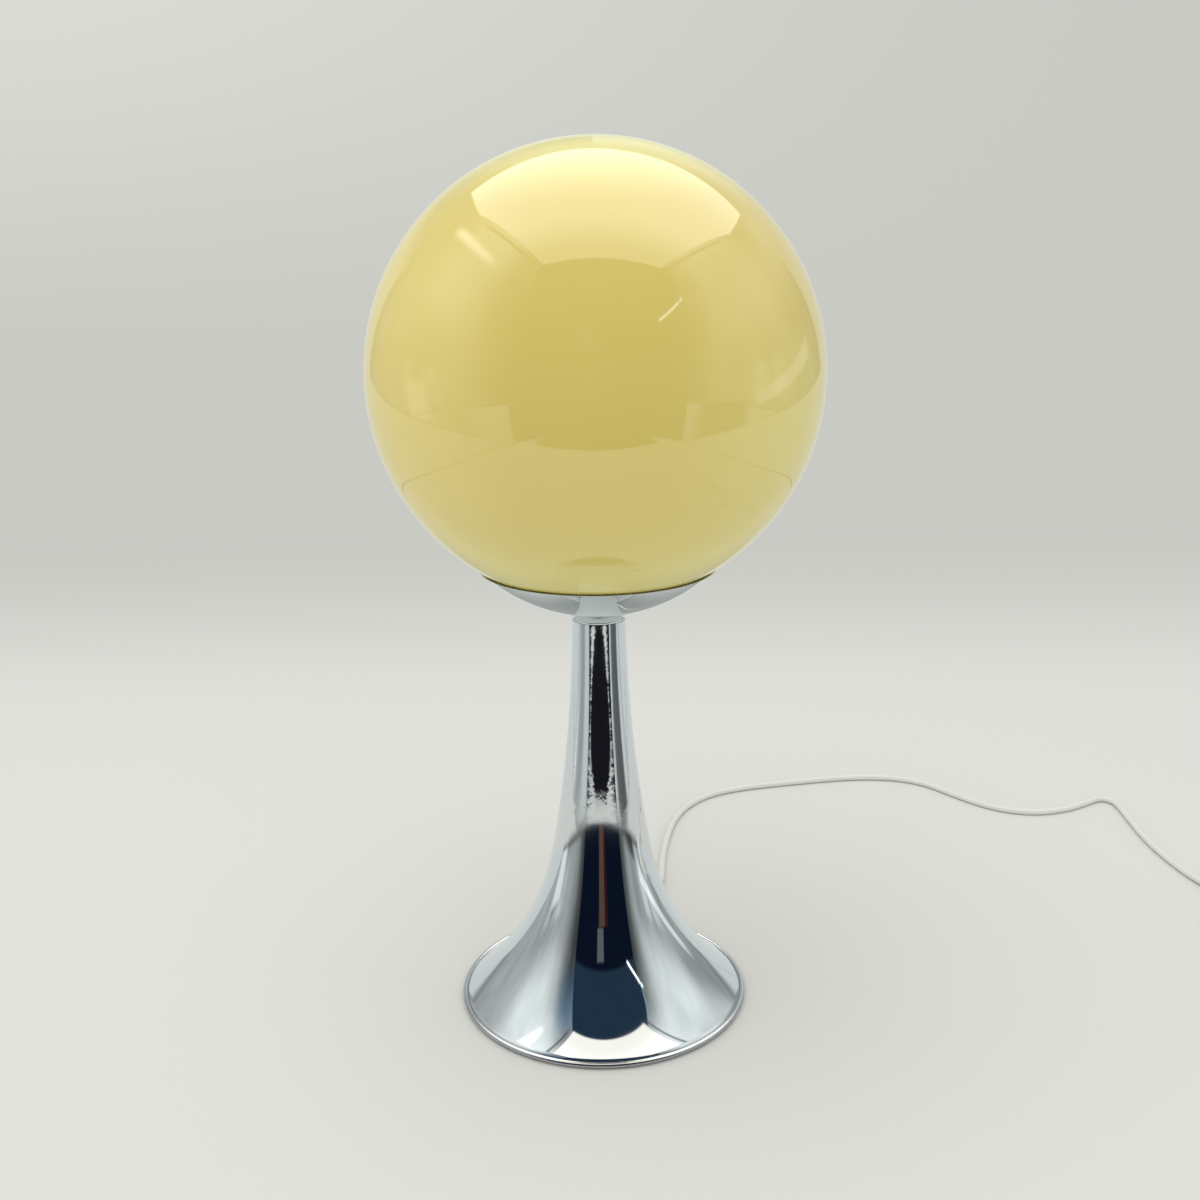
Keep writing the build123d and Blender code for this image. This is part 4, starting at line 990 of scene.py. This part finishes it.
class LAMP_OT_bulb(bpy.types.Operator):
    """LED bulb: its threaded cap and the finishes of its other pieces"""

    bl_idname = "lamp.bulb"
    bl_label = "Bulb"

    def execute(self, context):
        give(moulded_white(), "bulb_housing")
        give(plain("cap_glass", (0.018, 0.018, 0.02), 0.25), "bulb_insulator")
        nickel = plain("cap_nickel", (0.72, 0.69, 0.63), 0.2, 1.0)
        give(nickel, "bulb_tip")
        finish_piece(self.threaded_cap(), nickel, "bulb", "bulb_screw_cap")
        give(plain("bulb_diffuser", linear(240, 239, 234), 0.45, spread=0.02), "bulb_dome")
        give(plain("lamp_board", linear(225, 228, 222), 0.4), "bulb_led_board")
        return {"FINISHED"}

    def threaded_cap(self):
        """Cap with a rounded thread rolled into it as a helix that fades out at both ends."""
        low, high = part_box("bulb_screw_cap")
        pitch, depth, corner, rings = 0.00362, 0.0010, 0.001, 80
        start, stop = low.z + 0.0018, high.z - 0.0035
        radius, straight = (high.x - low.x) / 2, high.z - low.z - corner
        side = [(radius, low.z + corner + straight * i / rings) for i in range(rings + 1)]
        foot = arc((radius - corner, low.z + corner), corner, -math.pi / 2, 0, 6)
        outline = [(0.0, low.z)] + foot[:-1] + side + [(0.0, high.z)]
        cap = turned("bulb_cap_thread", outline, 96, close=False)
        for vertex in cap.data.vertices:
            place = vertex.co
            if start < place.z < stop and math.hypot(place.x, place.y) > radius * 0.95:
                turn = place.z / pitch - math.atan2(place.y, place.x) / ALL_ROUND
                fade = min((place.z - start) / pitch, (stop - place.z) / pitch, 1.0)
                inwards = depth * fade * (0.5 - 0.5 * math.cos(ALL_ROUND * turn))
                place.x *= 1 - inwards / radius
                place.y *= 1 - inwards / radius
        return cap


class LAMP_PT_panel(bpy.types.Panel):
    """Buttons for each group of pieces"""

    bl_label = "Table Lamp"
    bl_idname = "LAMP_PT_panel"
    bl_space_type = "VIEW_3D"
    bl_region_type = "UI"
    bl_category = "Lamp"

    def draw(self, context):
        column = self.layout.column(align=True)
        for operator in OPERATORS:
            column.operator(operator.bl_idname)


# the tie comes before the cord
OPERATORS = (LAMP_OT_stage, LAMP_OT_stand, LAMP_OT_globe, LAMP_OT_cord_tie, LAMP_OT_cord,
             LAMP_OT_foot, LAMP_OT_springs, LAMP_OT_holder, LAMP_OT_bulb, LAMP_OT_switch,
             LAMP_OT_plug)
SETTINGS = {"lamp_stand": StandSettings, "lamp_cord": CordSettings, "lamp_stage": StageSettings}


def register():
    """Make the settings, operators and panel known to Blender."""
    for name, group in SETTINGS.items():
        bpy.utils.register_class(group)
        setattr(bpy.types.Scene, name, bpy.props.PointerProperty(type=group))
    for operator in OPERATORS:
        bpy.utils.register_class(operator)
    bpy.utils.register_class(LAMP_PT_panel)


def unregister():
    """Take them away again."""
    bpy.utils.unregister_class(LAMP_PT_panel)
    for operator in reversed(OPERATORS):
        bpy.utils.unregister_class(operator)
    for name, group in SETTINGS.items():
        delattr(bpy.types.Scene, name)
        bpy.utils.unregister_class(group)


def main():
    """Build the lamp and its stage."""
    register()
    for operator in OPERATORS:
        group, action = operator.bl_idname.split(".")
        getattr(getattr(bpy.ops, group), action)()


if __name__ == "__main__":
    main()
